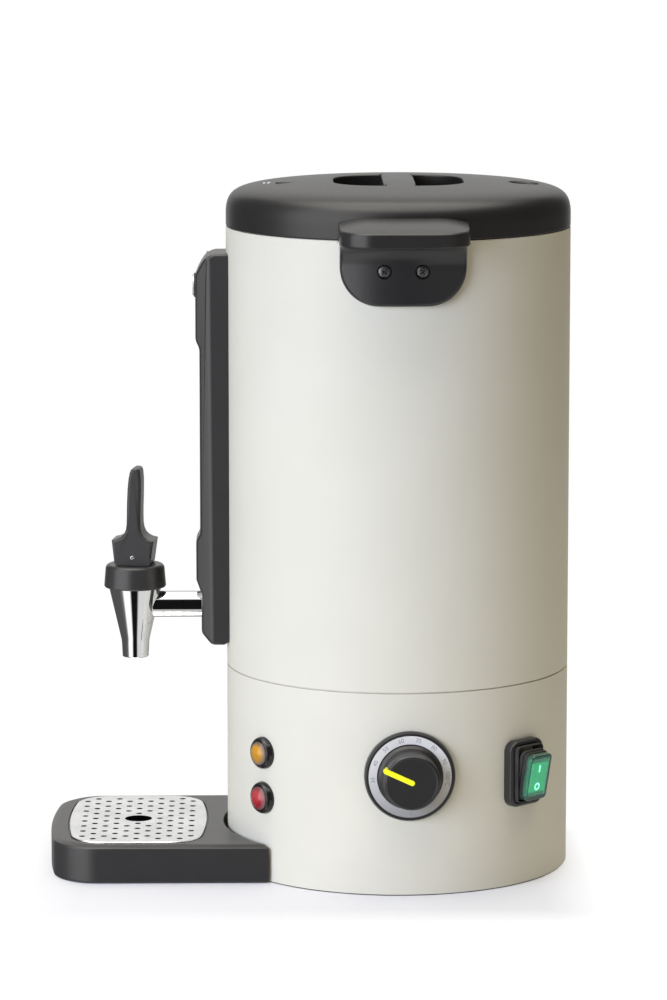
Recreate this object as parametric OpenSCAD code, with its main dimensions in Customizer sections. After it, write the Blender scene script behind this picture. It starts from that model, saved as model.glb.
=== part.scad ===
// Hot water urn: a double walled boiler with a lever tap, a sight column, a drip
// tray and a thermostat dial. +Z is up. The tap and the tray face -Y, the controls
// face +X, and the origin is on the floor under the middle of the footprint.

/* [Body] */
// Outside diameter of the casing
shell_d = 250; // [246:1:256]
// Sheet thickness of the casing
shell_wall = 1.2; // [1:0.1:1.5]
// Height of the seam between the base and the upper casing
seam_z = 147; // [144:1:149]
// Height of the casing's upper rim
rim_z = 468.5; // [466:0.5:475]
// Outside diameter of the water tank
tank_d = 228; // [226:1:228]
// Height of the underside of the water tank
tank_floor_z = 158; // [156:1:160]
// Height of the rubber ring that the urn stands on
foot_h = 2; // [2:0.5:3]

/* [Lid] */
// Height of the lid's cover above the rim
lid_h = 33.5; // [32:0.5:36]
// Radius of the lid's rounded shoulder
lid_corner = 18; // [14:1:20]
// How far the lid's top is domed
dome_rise = 4; // [2:0.5:6]
// Wall of the lid's moulding
lid_wall = 3; // [2:0.5:3]
// Diameter of the two finger pockets together
pocket_d = 94; // [80:1:100]
// Width of the bridge between the finger pockets
bridge_w = 23; // [18:1:28]
// Depth of the finger pockets
pocket_depth = 16; // [12:1:17]
// Distance of the steam vent from the lid's centre
vent_at = 91; // [86:1:92]
// Diameter of the steam vent
vent_d = 21; // [18:1:22]

/* [Handles] */
// Distance from the urn's axis to a grip's front
grip_reach = 178.5; // [170:0.5:190]
// Width of a grip
grip_w = 91; // [80:1:100]
// Height of the middle of a grip at its root
grip_top_z = 485; // [482:1:487]
// Height of a grip's lower edge
grip_low_z = 468; // [467:0.5:469]
// Height of a bracket's lower edge
bracket_low_z = 423.5; // [418:0.5:428]
// Thickness of a bracket's plate
bracket_t = 8; // [6:0.5:10]
// Height of the handle screws
handle_screw_z = 448; // [444:1:450]
// Distance of a handle screw from the middle of its handle
handle_screw_y = 13.3; // [10:0.1:16]

/* [Sight column] */
// Width of the sight column's cover
column_w = 45; // [43:1:50]
// Height of the cover's lower edge
column_low_z = 163; // [160:1:165]
// Height of the cover's upper edge
column_top_z = 449.5; // [447:0.5:458]
// Distance from the urn's axis to the edge where the cover's front slopes in
column_edge = 136; // [134:1:138]
// Distance from the urn's axis to the cover's front
column_front = 144.3; // [143:0.1:146]
// Wall of the cover
column_wall = 2.5; // [2:0.1:3]
// Height of the steel plug
plug_z = 425; // [422:1:428]
// Diameter of the steel plug
plug_d = 15.5; // [12:0.5:18]

/* [Tap] */
// Distance from the urn's axis to the spout
spout_at = 192.3; // [188:0.1:198]
// Height of the spout's mouth
spout_z = 151; // [148:1:154]
// Height of the middle of the tap's shank
shank_z = 190; // [189:1:191]
// Diameter of the shank
shank_d = 19.2; // [18:0.1:20]
// Height of the tap body's upper edge
cone_top_z = 203; // [202:0.5:204]
// Height of the top of the bonnet
bonnet_top_z = 220; // [219:0.5:221]
// Diameter of the bonnet
bonnet_d = 45.4; // [44:0.1:48]
// Height of the lever's pin
pin_z = 226; // [225.5:0.5:226]
// Height of the lever's tip
lever_top_z = 291.5; // [280:0.5:300]
// Angle of the lever about the stem
lever_swivel = -8; // [-20:1:20]
// Tilt of the lever at its stop
lever_tilt = 30; // [20:1:30]
// Lift of the stem for each radian of tilt
cam_rise = 9.5; // [8:0.5:9.5]

/* [Drip tray] */
// Distance from the urn's axis to the tray's front
tray_reach = 255; // [250:1:265]
// Width of the tray
tray_w = 172; // [168:1:176]
// Height of the tray
tray_h = 28; // [26:0.5:32]
// Radius of the tray's front corners
tray_corner = 34; // [30:1:38]
// Radius of the bow in the tray's front
tray_bow = 450; // [400:10:600]
// Radius of the tray's upper edge
tray_edge = 2; // [1:0.5:6]
// Width of the grille
grille_w = 154; // [150:1:156]
// Depth of the grille, from front to back
grille_l = 101; // [98:1:104]
// Radius of the grille's corners
grille_corner = 26; // [24:1:30]
// Distance from the urn's axis to the middle of the grille
grille_at = 191; // [190:0.5:193]
// Pitch of the grille's holes along a row
grille_pitch = 15.8; // [14:0.1:18]
// Distance between the rows of holes
grille_row = 8.2; // [7:0.1:8.4]
// Diameter of a small hole in the grille
grille_hole_d = 4; // [3:0.1:4.2]

/* [Controls] */
// Angle of the dial around the urn
dial_angle = 2.5; // [-5:0.5:8]
// Height of the dial
dial_z = 87.5; // [84:0.5:92]
// Diameter of the dial's black rim
dial_d = 65; // [63:0.5:66]
// Diameter of the knob's skirt
knob_d = 46; // [44:0.5:46]
// How far the knob stands out of the casing
knob_out = 25; // [20:0.5:28]
// Angle of the knob's pointer, measured from the right
pointer_angle = 155; // [30:1:180]
// Angle of the two lamps around the urn
lamp_angle = -52; // [-58:0.5:-48]
// Height of the upper lamp
lamp_high_z = 94.5; // [93:0.5:100]
// Height of the lower lamp
lamp_low_z = 61.5; // [58:0.5:66]
// Diameter of a lamp's bezel
lamp_d = 23.5; // [22:0.5:26]
// Angle of the switch around the urn
switch_angle = 44; // [42:0.5:52]
// Height of the switch
switch_z = 83; // [80:1:90]
// Width of the switch's bezel
switch_w = 34; // [34:0.5:38]
// Height of the switch's bezel
switch_h = 48; // [48:0.5:52]
// Tilt of the rocker to either side
rocker_tilt = 11; // [8:1:11]
// Angle of the cable gland around the urn
gland_angle = 150; // [140:1:160]
// Height of the cable gland
gland_z = 30; // [26:1:36]

/* [Hidden] */
$fn = 96;

shell_colour = "#dad7cd";
black_plastic = "#2b2b2d";
steel = "#c6c9cc";
rubber_grey = "#55565a";
clear_plastic = "#dfe8ea";

// A hair's breadth that lets a cut run past a face
past = 1;
// The gap between pieces of different bodies
clear_gap = 0.3;
// Radial clearance of a running fit
running = 0.05;

shell_r = shell_d / 2;
inner_r = shell_r - shell_wall;
axis_y = (tray_reach - shell_r) / 2;
seam_gap = 0.8;
lip_r = inner_r - 0.2;
rim_inner_r = shell_r - 6;
tank_r = tank_d / 2;
tank_wall = 1;
flange_z = rim_z - 2 * shell_wall;

lid_low_z = rim_z + 0.5;
lid_top_z = rim_z + lid_h;
lid_flat_r = shell_r - lid_corner;
lid_shoulder_z = lid_top_z - dome_rise - lid_corner;
dome_r = (lid_flat_r * lid_flat_r + dome_rise * dome_rise) / (2 * dome_rise);
pocket_floor_z = lid_top_z - pocket_depth;
pan_r = 104;
pan_floor_z = rim_z - 12.5;
pan_flange_z = rim_z + 2.5;
seal_r = tank_r - tank_wall - 0.5;

shank_r = shank_d / 2;
stem_r = 4;
pin_r = 1.5;
cup_low_z = 172.3;
cup_top_z = 188;
spring_top_z = 216;
lever_depth = 24;
blade_depth = 18;
foot_drop = pin_z - bonnet_top_z - clear_gap;
column_mid = 133.5;
sight_tube_r = 5.5;
sight_low_z = 204;
sight_high_z = 414;

base_flange_z = foot_h + shell_wall;
plate_z = base_flange_z + shell_wall;
rod_at = 95;
scale_r = 29.6;
scale_inner_r = knob_d / 2 + 0.6;
shaft_r = 3;
pointer_r = 1.9;

// ---- shared shapes ----

// Puts what is drawn around the urn's own axis into the part's frame.
module on_axis() {
    translate([0, axis_y, 0])
        children();
}

// Puts what is drawn at the origin onto the casing's wall, facing out along +X.
module on_wall(angle, z) {
    on_axis()
        rotate([0, 0, angle])
            translate([shell_r, 0, z])
                children();
}

// The space inside the casing, seen from a place on its wall.
module inside_wall() {
    translate([-shell_r, 0, -200])
        cylinder(h = 400, r = shell_r, $fn = 360);
}

module rod_x(x0, x1, r) {
    translate([x0, 0, 0])
        rotate([0, 90, 0])
            cylinder(h = x1 - x0, r = r);
}

module rod_y(y0, y1, r) {
    translate([0, y0, 0])
        rotate([-90, 0, 0])
            cylinder(h = y1 - y0, r = r);
}

// A straight bar from one point to another, with that many sides.
module bar(a, b, r, sides) {
    run = b - a;
    reach = norm(run);
    translate(a)
        rotate([0, acos(run[2] / reach), atan2(run[1], run[0])])
            cylinder(h = reach, r = r, $fn = sides);
}

// A thin eight-sided lead of straight stretches, each run a little past its bends.
module wire(points, r) {
    last = len(points) - 1;
    for (i = [1 : last]) {
        a = points[i - 1];
        b = points[i];
        along = (b - a) * r / norm(b - a);
        bar(i == 1 ? a : a - along, i == last ? b : b + along, r, 8);
    }
}

module round_rect(w, h, r) {
    square([w - 2 * r, h], center = true);
    square([w, h - 2 * r], center = true);
    for (x = [-1, 1])
        for (y = [-1, 1])
            translate([x * (w / 2 - r), y * (h / 2 - r)])
                circle(r);
}

// A plate that faces +X, with its outline in Y and Z.
module plate_x(x0, x1) {
    translate([x0, 0, 0])
        rotate([90, 0, 90])
            linear_extrude(x1 - x0)
                children();
}

module ring(r_in, r_out, z0, z1) {
    rotate_extrude()
        translate([r_in, z0])
            square([r_out - r_in, z1 - z0]);
}

// ---- casing ----

module shank_hole(clearance) {
    translate([0, 0, shank_z])
        rod_y(-shell_r - past, 0, shank_r + clearance);
}

module plug_hole(r) {
    translate([0, 0, plug_z])
        rod_y(-shell_r - past, 0, r);
}

module handle_screw_holes(r) {
    for (side = [0, 180])
        rotate([0, 0, side])
            for (y = [-1, 1])
                translate([0, y * handle_screw_y, handle_screw_z])
                    rod_x(shell_r - 12, shell_r + bracket_t + past, r);
}

module outer_shell() {
    low = seam_z + seam_gap / 2;
    color(shell_colour)
        on_axis()
            difference() {
                rotate_extrude()
                    polygon([
                        [inner_r, low], [shell_r, low], [shell_r, rim_z - 1],
                        [shell_r - 1, rim_z], [rim_inner_r, rim_z],
                        [rim_inner_r, rim_z - shell_wall], [inner_r, rim_z - shell_wall]
                    ]);
                shank_hole(0.3);
                plug_hole(6.3);
                handle_screw_holes(2.1);
            }
}

module base_shell() {
    high = seam_z - seam_gap / 2;
    color(shell_colour)
        on_axis()
            difference() {
                rotate_extrude()
                    polygon([
                        [inner_r - 10, foot_h], [shell_r - 1, foot_h], [shell_r, foot_h + 1],
                        [shell_r, high], [lip_r, high], [lip_r, high + 9],
                        [lip_r - shell_wall, high + 9], [lip_r - shell_wall, high - 6],
                        [inner_r, high - 8], [inner_r, base_flange_z],
                        [inner_r - 10, base_flange_z]
                    ]);
                wall_hole(dial_angle, dial_z, 10);
                wall_hole(lamp_angle, lamp_high_z, 9.5);
                wall_hole(lamp_angle, lamp_low_z, 9.5);
                wall_hole(gland_angle, gland_z, 8.2);
                rotate([0, 0, switch_angle])
                    translate([shell_r, 0, switch_z])
                        plate_x(-12, past)
                            square([27.2, 41.2], center = true);
                base_screw_places()
                    cylinder(h = 30, r = 1.9, center = true);
            }
}

module wall_hole(angle, z, r) {
    rotate([0, 0, angle])
        translate([shell_r, 0, z])
            rod_x(-12, past, r);
}

module base_screw_places() {
    for (a = [45 : 90 : 315])
        rotate([0, 0, a])
            translate([inner_r - 6.5, 0, 0])
                children();
}

module rod_places() {
    for (a = [90 : 120 : 330])
        rotate([0, 0, a])
            translate([rod_at, 0, 0])
                children();
}

module inner_tank() {
    tank_in = tank_r - tank_wall;
    floor_top = tank_floor_z + 1.2;
    color(steel)
        on_axis()
            difference() {
                rotate_extrude()
                    polygon([
                        [0, tank_floor_z], [tank_r - 3, tank_floor_z],
                        [tank_r, tank_floor_z + 3], [tank_r, flange_z],
                        [inner_r - 1, flange_z], [inner_r - 1, flange_z + shell_wall],
                        [tank_in, flange_z + shell_wall], [tank_in, floor_top + 2],
                        [tank_in - 2, floor_top], [0, floor_top]
                    ]);
                shank_hole(0.1);
                plug_hole(6.1);
            }
}

module rim_ring() {
    color(rubber_grey)
        on_axis()
            rotate_extrude()
                polygon([
                    [tank_r - tank_wall, flange_z + shell_wall],
                    [rim_inner_r - 0.2, flange_z + shell_wall],
                    [rim_inner_r - 0.2, rim_z + 0.5], [rim_inner_r - 1, rim_z + 1.2],
                    [tank_r, rim_z + 1.2], [tank_r - tank_wall, rim_z + 0.4]
                ]);
}

module base_plate() {
    color(steel)
        on_axis()
            translate([0, 0, base_flange_z])
                difference() {
                    cylinder(h = shell_wall, r = inner_r - 0.3);
                    base_screw_places()
                        cylinder(h = 10, r = 1.9, center = true);
                    rod_places()
                        cylinder(h = 10, r = 2, center = true);
                    translate([reset_at[0], reset_at[1], 0])
                        cylinder(h = 10, r = 4.5, center = true);
                    for (i = [-3 : 3])
                        translate([i * 9, 52, -past])
                            linear_extrude(5)
                                round_rect(4, 34, 1.9);
                }
}

module foot_ring() {
    color(black_plastic)
        on_axis()
            ring(shell_r - 4.5, shell_r - 0.8, 0, foot_h);
}

module base_screws() {
    color(steel)
        on_axis()
            base_screw_places() {
                translate([0, 0, foot_h - 1.2])
                    cylinder(h = 1.2, r = 2.8, $fn = 24);
                translate([0, 0, foot_h])
                    cylinder(h = 7, r = 1.9, $fn = 24);
            }
}

module tie_rods() {
    color(steel)
        on_axis()
            rod_places() {
                translate([0, 0, foot_h - 1.2])
                    cylinder(h = tank_floor_z - foot_h + 1.2, r = 2, $fn = 24);
                translate([0, 0, plate_z])
                    cylinder(h = 3, r = 4, $fn = 6);
            }
}

// ---- heating ----

element_r = 62;
element_bar_r = 4.2;
spreader_low_z = tank_floor_z - 5;
element_z = spreader_low_z - element_bar_r;
shield_z = 126;
reset_at = [-34, -58];

module heat_spreader() {
    color("#b9bcc0")
        on_axis()
            ring(0, 82, spreader_low_z, tank_floor_z);
}

module heating_element() {
    color("#8d8f92")
        on_axis() {
            translate([0, 0, element_z])
                rotate_extrude()
                    translate([element_r, 0])
                        circle(element_bar_r, $fn = 32);
            for (a = [-8, 8])
                rotate([0, 0, a])
                    translate([element_r, 0, shield_z + 4])
                        cylinder(h = element_z - shield_z - 4, r = 3, $fn = 24);
        }
}

module heat_shield() {
    color(steel)
        on_axis()
            difference() {
                rotate_extrude()
                    polygon([
                        [0, shield_z], [104, shield_z], [108, shield_z + 4],
                        [108, shield_z + 14], [107, shield_z + 14],
                        [107, shield_z + 4.5], [103.5, shield_z + 1], [0, shield_z + 1]
                    ]);
                rod_places()
                    translate([0, 0, shield_z - past])
                        cylinder(h = 4, r = 2);
                translate([element_r, 0, shield_z - past])
                    cylinder(h = 4, r = 14);
                for (hole = [[60, -62], [-86, 34]])
                    translate([hole[0], hole[1], shield_z - past])
                        cylinder(h = 4, r = 4);
            }
}

module thermostat_body() {
    color("#d8d3c4")
        on_wall(dial_angle, dial_z)
            difference() {
                union() {
                    plate_x(-44, -18)
                        round_rect(34, 36, 4);
                    rod_x(-18, -8, 7);
                    plate_x(-52, -44)
                        square([14, 4], center = true);
                }
                rod_x(-40, 0, shaft_r + running);
            }
}

module thermostat_bulb() {
    bulb_z = tank_floor_z - 3.2;
    color("#b87333")
        on_axis() {
            bar([-30, -92, bulb_z], [30, -92, bulb_z], 3, 48);
            wire([
                [30, -92, bulb_z], [44, -82, bulb_z - 6], [60, -62, shield_z + 8],
                [60, -62, shield_z - 10], [72, -20, dial_z + 12], [84, -10, dial_z + 12]
            ], 0.8);
        }
}

module thermal_cutout() {
    color("#3a3a3c")
        on_axis()
            translate([reset_at[0], reset_at[1], plate_z])
                difference() {
                    union() {
                        translate([-14, -11, 0])
                            cube([28, 22, 26]);
                        for (x = [-8, 8])
                            translate([x - 3, -0.4, 26])
                                cube([6, 0.8, 8]);
                    }
                    translate([0, 0, -past])
                        cylinder(h = 14, r = 4.5);
                }
}

module reset_button() {
    color("#b3261e")
        on_axis()
            translate([reset_at[0], reset_at[1], 0]) {
                translate([0, 0, foot_h - 0.6])
                    cylinder(h = plate_z + 6 - foot_h, r = 3.5, $fn = 48);
                translate([0, 0, plate_z + 5.4])
                    cylinder(h = 1.5, r = 4.1, $fn = 48);
            }
}

module terminal_block() {
    color("#e6e2d8")
        on_axis()
            translate([-48, -12, plate_z])
                difference() {
                    cube([18, 46, 18]);
                    for (i = [0 : 3])
                        translate([9, 6.5 + i * 11, 8])
                            cylinder(h = 20, r = 3.2, $fn = 32);
                }
}

module wiring() {
    top = plate_z + 9;
    color("#3d6fb4")
        on_axis() {
            wire([
                [-30, -5.5, top], [-10, 0, 40], [28, -6, dial_z - 14], [72.6, 0, dial_z - 14]
            ], 1.3);
            wire([
                [-30, 5.5, top], [0, 30, 45], [57, 63.5, switch_z + 6], [71.6, 69.1, switch_z + 6]
            ], 1.3);
            wire([
                [-30, 16.5, top], [6, 40, 60], [56.5, 57.5, switch_z - 8], [71.6, 69.1, switch_z - 8]
            ], 1.3);
            wire([
                [-30, 27.5, top], [10, 20, 110], [element_r - 4, 8.7, shield_z - 2],
                [61.4, 8.63, shield_z + 4]
            ], 1.3);
            wire([
                [-42, -58, plate_z + 34], [0, -50, 60], [54, -74.6, lamp_low_z],
                [62.6, -80.1, lamp_low_z]
            ], 1.1);
            wire([
                [-26, -58, plate_z + 34], [10, -40, 80], [54, -74.6, lamp_high_z],
                [62.6, -80.1, lamp_high_z]
            ], 1.1);
        }
}

// ---- cable gland ----

gland_bore_r = 4.5;

module cable_gland() {
    color(black_plastic)
        on_wall(gland_angle, gland_z)
            difference() {
                union() {
                    rod_x(-12, 1, 8);
                    difference() {
                        rotate([0, 90, 0])
                            translate([0, 0, -1])
                                cylinder(h = 7, r = 12.5, $fn = 6);
                        inside_wall();
                    }
                    rod_x(6, 14, 10.5);
                    rotate([0, 90, 0])
                        translate([0, 0, 14])
                            cylinder(h = 4, r1 = 10.5, r2 = 7.5);
                }
                rod_x(-13, 19, gland_bore_r);
                rod_x(-13, 2, gland_bore_r + 1);
            }
}

module gland_nut() {
    color(black_plastic)
        on_wall(gland_angle, gland_z)
            rotate([0, 90, 0])
                translate([0, 0, -7])
                    difference() {
                        cylinder(h = 5, r = 12, $fn = 6);
                        translate([0, 0, -past])
                            cylinder(h = 8, r = 8);
                    }
}

// ---- thermostat dial ----

module about_dial() {
    on_wall(dial_angle, dial_z)
        rotate([0, 90, 0])
            children();
}

module dial_bezel() {
    rim_r = dial_d / 2;
    color(black_plastic)
        difference() {
            on_wall(dial_angle, dial_z)
                difference() {
                    union() {
                        rotate([0, 90, 0])
                            translate([0, 0, -6])
                                cylinder(h = 8, r = rim_r);
                        rotate([0, 90, 0])
                            translate([0, 0, 2])
                                cylinder(h = 2, r1 = rim_r, r2 = rim_r - 2);
                    }
                    inside_wall();
                }
            about_dial() {
                translate([0, 0, 3])
                    cylinder(h = 5, r = scale_r + 0.1);
                translate([0, 0, 0.8])
                    cylinder(h = 5, r = scale_inner_r);
                translate([0, 0, -20])
                    cylinder(h = 40, r = 9.8);
            }
        }
    color(black_plastic)
        about_dial()
            difference() {
                translate([0, 0, -8])
                    cylinder(h = 8.8, r = 9.8);
                translate([0, 0, -20])
                    cylinder(h = 40, r = shaft_r + running);
            }
}

module dial_scale_ring() {
    color("#d5d7d8")
        about_dial()
            ring(scale_inner_r, scale_r, 3, 3.8);
}

// The pointer lies across the knob's front, from its centre over the edge.
module pointer_form(r) {
    on_wall(dial_angle, dial_z)
        rotate([pointer_angle, 0, 0])
            translate([knob_out, 0, 0]) {
                translate([-2, 0, 0])
                    rod_x(0, 2.5, r);
                plate_x(-2, 0.5)
                    translate([0, -r])
                        square([knob_d / 2 - 4, 2 * r]);
                plate_x(-7, 0.5)
                    translate([knob_d / 2 - 4, -r])
                        square([1.6, 2 * r]);
            }
}

module knob() {
    skirt_r = knob_d / 2;
    color(black_plastic)
        difference() {
            about_dial()
                rotate_extrude()
                    polygon([
                        [0, 1.2], [skirt_r, 1.2], [skirt_r, 5.5], [skirt_r - 1.6, 7],
                        [skirt_r - 2.4, 7], [skirt_r - 3, knob_out - 1.2],
                        [skirt_r - 4.2, knob_out], [0, knob_out]
                    ]);
            pointer_form(pointer_r);
            about_dial()
                cylinder(h = 17, r = shaft_r);
        }
}

module knob_pointer() {
    color("#e8e612")
        pointer_form(pointer_r);
}

module thermostat_shaft() {
    color(steel)
        about_dial()
            translate([0, 0, -38])
                cylinder(h = 55, r = shaft_r);
}

// ---- lamps ----

module lamp_housing(z) {
    bezel_r = lamp_d / 2;
    color(black_plastic)
        on_wall(lamp_angle, z)
            difference() {
                union() {
                    difference() {
                        rotate([0, 90, 0])
                            rotate_extrude()
                                polygon([
                                    [0, -4], [bezel_r, -4], [bezel_r, 1.5],
                                    [bezel_r - 0.8, 3.4], [bezel_r - 2.2, 4.6], [0, 4.6]
                                ]);
                        inside_wall();
                    }
                    rod_x(-22, 1, 9.4);
                }
                rod_x(0, 8, 8.7);
                rod_x(-20, 8, 6);
            }
}

module lamp_lens(z, tint) {
    color(tint)
        on_wall(lamp_angle, z)
            rotate([0, 90, 0])
                rotate_extrude()
                    polygon([
                        [0, 0], [8.7, 0], [8.7, 4.4], [7.6, 5.8], [5.4, 6.9],
                        [2.8, 7.5], [0, 7.7]
                    ]);
}

module amber_lamp_housing() {
    lamp_housing(lamp_high_z);
}

module amber_lamp_lens() {
    lamp_lens(lamp_high_z, "#d08a1e");
}

module red_lamp_housing() {
    lamp_housing(lamp_low_z);
}

module red_lamp_lens() {
    lamp_lens(lamp_low_z, "#b01c2c");
}

// ---- rocker switch ----

switch_floor = 3.2;
rocker_pivot = 7;
rocker_pin_r = 1.8;
rocker_pin_reach = 12.9;
rocker_face = 9.1;

module switch_housing() {
    color(black_plastic)
        on_wall(switch_angle, switch_z)
            difference() {
                union() {
                    difference() {
                        union() {
                            plate_x(-4, 4.6)
                                round_rect(switch_w, switch_h, 7.5);
                            plate_x(-4, 6.2)
                                round_rect(switch_w - 1.6, switch_h - 1.6, 6.7);
                        }
                        inside_wall();
                    }
                    plate_x(-26, 1)
                        square([27, 41], center = true);
                }
                plate_x(switch_floor, 8)
                    round_rect(28.4, 42.4, 4.6);
                plate_x(-24, 8)
                    round_rect(25, 39.2, 2);
            }
}

// The two round sockets that the rocker's pins turn in.
module rocker_sockets() {
    reach = rocker_pin_reach + 0.2;
    translate([rocker_pivot, 0, 0])
        rod_y(-reach, reach, rocker_pin_r + 0.1);
}

module switch_collar() {
    color(rubber_grey)
        on_wall(switch_angle, switch_z)
            difference() {
                union() {
                    plate_x(switch_floor, switch_floor + 1.4)
                        round_rect(28.2, 42.2, 4.5);
                    plate_x(switch_floor, 9.2)
                        round_rect(26.8, 40.8, 3.2);
                }
                plate_x(0, 11)
                    round_rect(25, 39.2, 2);
                rocker_sockets();
            }
}

module rocked() {
    on_wall(switch_angle, switch_z)
        translate([rocker_pivot, 0, 0])
            rotate([0, rocker_tilt, 0])
                children();
}

module switch_rocker() {
    color("#1fae62")
        rocked()
            union() {
                plate_x(0, rocker_face)
                    round_rect(17.5, 28, 1);
                plate_x(-9, 0)
                    round_rect(18, 22, 1);
                rod_y(-rocker_pin_reach, rocker_pin_reach, rocker_pin_r);
            }
}

module switch_cover() {
    color("#2c9a63")
        rocked()
            difference() {
                union() {
                    plate_x(0, 5.6)
                        round_rect(23, 36, 4);
                    plate_x(0, rocker_face + 1.6)
                        round_rect(21.6, 34.2, 3.4);
                }
                plate_x(-1, rocker_face)
                    round_rect(17.5, 28, 1);
                rod_y(-rocker_pin_reach, rocker_pin_reach, rocker_pin_r + running);
            }
}

// ---- handles ----

// A grip's outline from above: its root follows the casing and its front
// corners are round.
module grip_plan(inset) {
    corner = 24;
    half = grip_w / 2 - inset;
    front = grip_reach - inset;
    difference() {
        union() {
            translate([shell_r - 20, -half])
                square([front - corner - shell_r + 20, 2 * half]);
            translate([shell_r - 20, corner - half])
                square([front - shell_r + 20, 2 * half - 2 * corner]);
            for (side = [-1, 1])
                translate([front - corner, side * (half - corner)])
                    circle(corner);
        }
        circle(shell_r + 0.6 + inset, $fn = 360);
    }
}

module grip() {
    crown_r = 204;
    color(black_plastic)
        difference() {
            intersection() {
                translate([0, 0, grip_low_z])
                    linear_extrude(30)
                        grip_plan(0);
                translate([shell_r, 0, grip_top_z - crown_r])
                    sphere(crown_r, $fn = 240);
            }
            translate([0, 0, grip_low_z - past])
                linear_extrude(5)
                    grip_plan(4);
        }
}

// The bracket's outline from the side: straight above and round below.
module bracket_outline() {
    corner = 27;
    half = grip_w / 2 - 1;
    translate([-half, bracket_low_z + corner])
        square([2 * half, grip_low_z - bracket_low_z - corner]);
    translate([corner - half, bracket_low_z])
        square([2 * (half - corner), corner + 1]);
    for (side = [-1, 1])
        translate([side * (half - corner), bracket_low_z + corner])
            circle(corner);
}

module bracket() {
    flare = 16;
    plate_r = shell_r + bracket_t;
    color(black_plastic)
        difference() {
            intersection() {
                rotate_extrude($fn = 360)
                    difference() {
                        union() {
                            translate([shell_r, bracket_low_z])
                                square([bracket_t, grip_low_z - bracket_low_z]);
                            translate([plate_r - 1, grip_low_z - flare])
                                square([flare + 1, flare]);
                        }
                        translate([plate_r + flare, grip_low_z - flare])
                            circle(flare);
                    }
                plate_x(shell_r - 30, shell_r + 40)
                    bracket_outline();
            }
            for (y = [-1, 1])
                translate([0, y * handle_screw_y, handle_screw_z]) {
                    rod_x(shell_r - 12, shell_r + 30, 2.1);
                    rod_x(shell_r + bracket_t - 3.5, shell_r + 30, 5.2);
                }
        }
}

module right_grip() {
    on_axis()
        grip();
}

module right_bracket() {
    on_axis()
        bracket();
}

module left_grip() {
    on_axis()
        mirror([1, 0, 0])
            grip();
}

module left_bracket() {
    on_axis()
        mirror([1, 0, 0])
            bracket();
}

module handle_screws() {
    head = shell_r + bracket_t - 3.5;
    color("#4a4b4e")
        on_axis()
            for (side = [0, 180])
                rotate([0, 0, side])
                    for (y = [-1, 1])
                        translate([0, y * handle_screw_y, handle_screw_z]) {
                            rod_x(shell_r - 9, head, 2);
                            rod_x(head, head + 2.4, 4.6);
                        }
}

// ---- sight column ----

// The cover's outline seen along X, as distances from the urn's axis and heights.
function column_side(inset) = [
    [100, column_low_z + inset],
    [column_edge, column_low_z + inset],
    [column_front - 0.8 - inset, column_low_z + 8 + inset / 2],
    [column_front - 0.8 - inset, 200 + inset],
    [column_front + 3 - inset, 210 + inset],
    [column_front + 3 - inset, 239 - inset],
    [column_front - inset, 244 - inset],
    [column_front - inset, 380 + inset],
    [column_front + 2.9 - inset, 386 + inset],
    [column_front + 2.9 - inset, column_top_z - 16.5],
    [column_front + 0.2 - inset, column_top_z - 10.4 - inset / 2],
    [column_front - 3.6 - inset, column_top_z - 4.2 - inset / 2],
    [column_edge, column_top_z - inset],
    [100, column_top_z - inset]
];

// The cover's outline seen from above, with its front edges sloped in.
function column_plan(inset) = [
    [-column_w / 2 + inset, -100],
    [-column_w / 2 + inset, -column_edge + inset / 2],
    [-13.5 + inset / 2, -column_front - 3.2],
    [13.5 - inset / 2, -column_front - 3.2],
    [column_w / 2 - inset, -column_edge + inset / 2],
    [column_w / 2 - inset, -100]
];

module column_form(inset) {
    intersection() {
        translate([0, 0, column_low_z - 5])
            linear_extrude(column_top_z - column_low_z + 10)
                polygon(column_plan(inset));
        rotate([90, 0, -90])
            translate([0, 0, -column_w])
                linear_extrude(2 * column_w)
                    polygon(column_side(inset));
    }
}

module sight_cover() {
    color(black_plastic)
        on_axis()
            difference() {
                column_form(0);
                column_form(column_wall);
                cylinder(h = 600, r = shell_r, $fn = 360);
                translate([-6, -column_front - 10, 252])
                    cube([12, 20, 124]);
                translate([0, 0, shank_z])
                    rod_y(-column_front - 10, -100, shank_r + 0.3);
                translate([0, 0, plug_z])
                    rod_y(-column_front - 10, -100, 4.2);
            }
}

module sight_window() {
    window_y = column_front - column_wall;
    color(clear_plastic)
        on_axis()
            translate([-10, -window_y, 247])
                cube([20, 1.4, 134]);
}

module sight_tube() {
    color(clear_plastic)
        on_axis()
            translate([0, -column_mid, 0])
                ring(sight_tube_r - 1.2, sight_tube_r, sight_low_z + 1.9, sight_high_z - 1.9);
}

module sight_upper_fitting() {
    color("#8b8d90")
        on_axis()
            difference() {
                union() {
                    translate([-11, -column_mid - 5, sight_high_z])
                        cube([22, 12, 22]);
                    translate([0, -column_mid, sight_high_z - 8])
                        cylinder(h = 9, r = 3.9, $fn = 48);
                    translate([0, 0, plug_z])
                        rod_y(-column_mid, -tank_r + 4, 6);
                }
                translate([0, -column_mid, sight_high_z - 9])
                    cylinder(h = 12, r = 2.2, $fn = 48);
                translate([0, 0, plug_z])
                    rod_y(-column_mid + 5, -tank_r, 3);
                translate([0, 0, plug_z])
                    rod_y(-column_mid - 8, -column_mid + 3, 4);
            }
}

module sight_lower_fitting() {
    color("#8b8d90")
        on_axis()
            difference() {
                union() {
                    translate([-13, -column_mid - 6, shank_z - 14])
                        cube([26, 13, 28]);
                    translate([0, -column_mid, sight_low_z - 2])
                        cylinder(h = 10, r = 3.9, $fn = 48);
                }
                cylinder(h = 600, r = shell_r + 0.3, $fn = 360);
                translate([0, 0, shank_z])
                    rod_y(-column_mid - 10, -100, shank_r);
                translate([0, -column_mid, shank_z])
                    cylinder(h = 30, r = 2.2, $fn = 48);
            }
}

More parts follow.
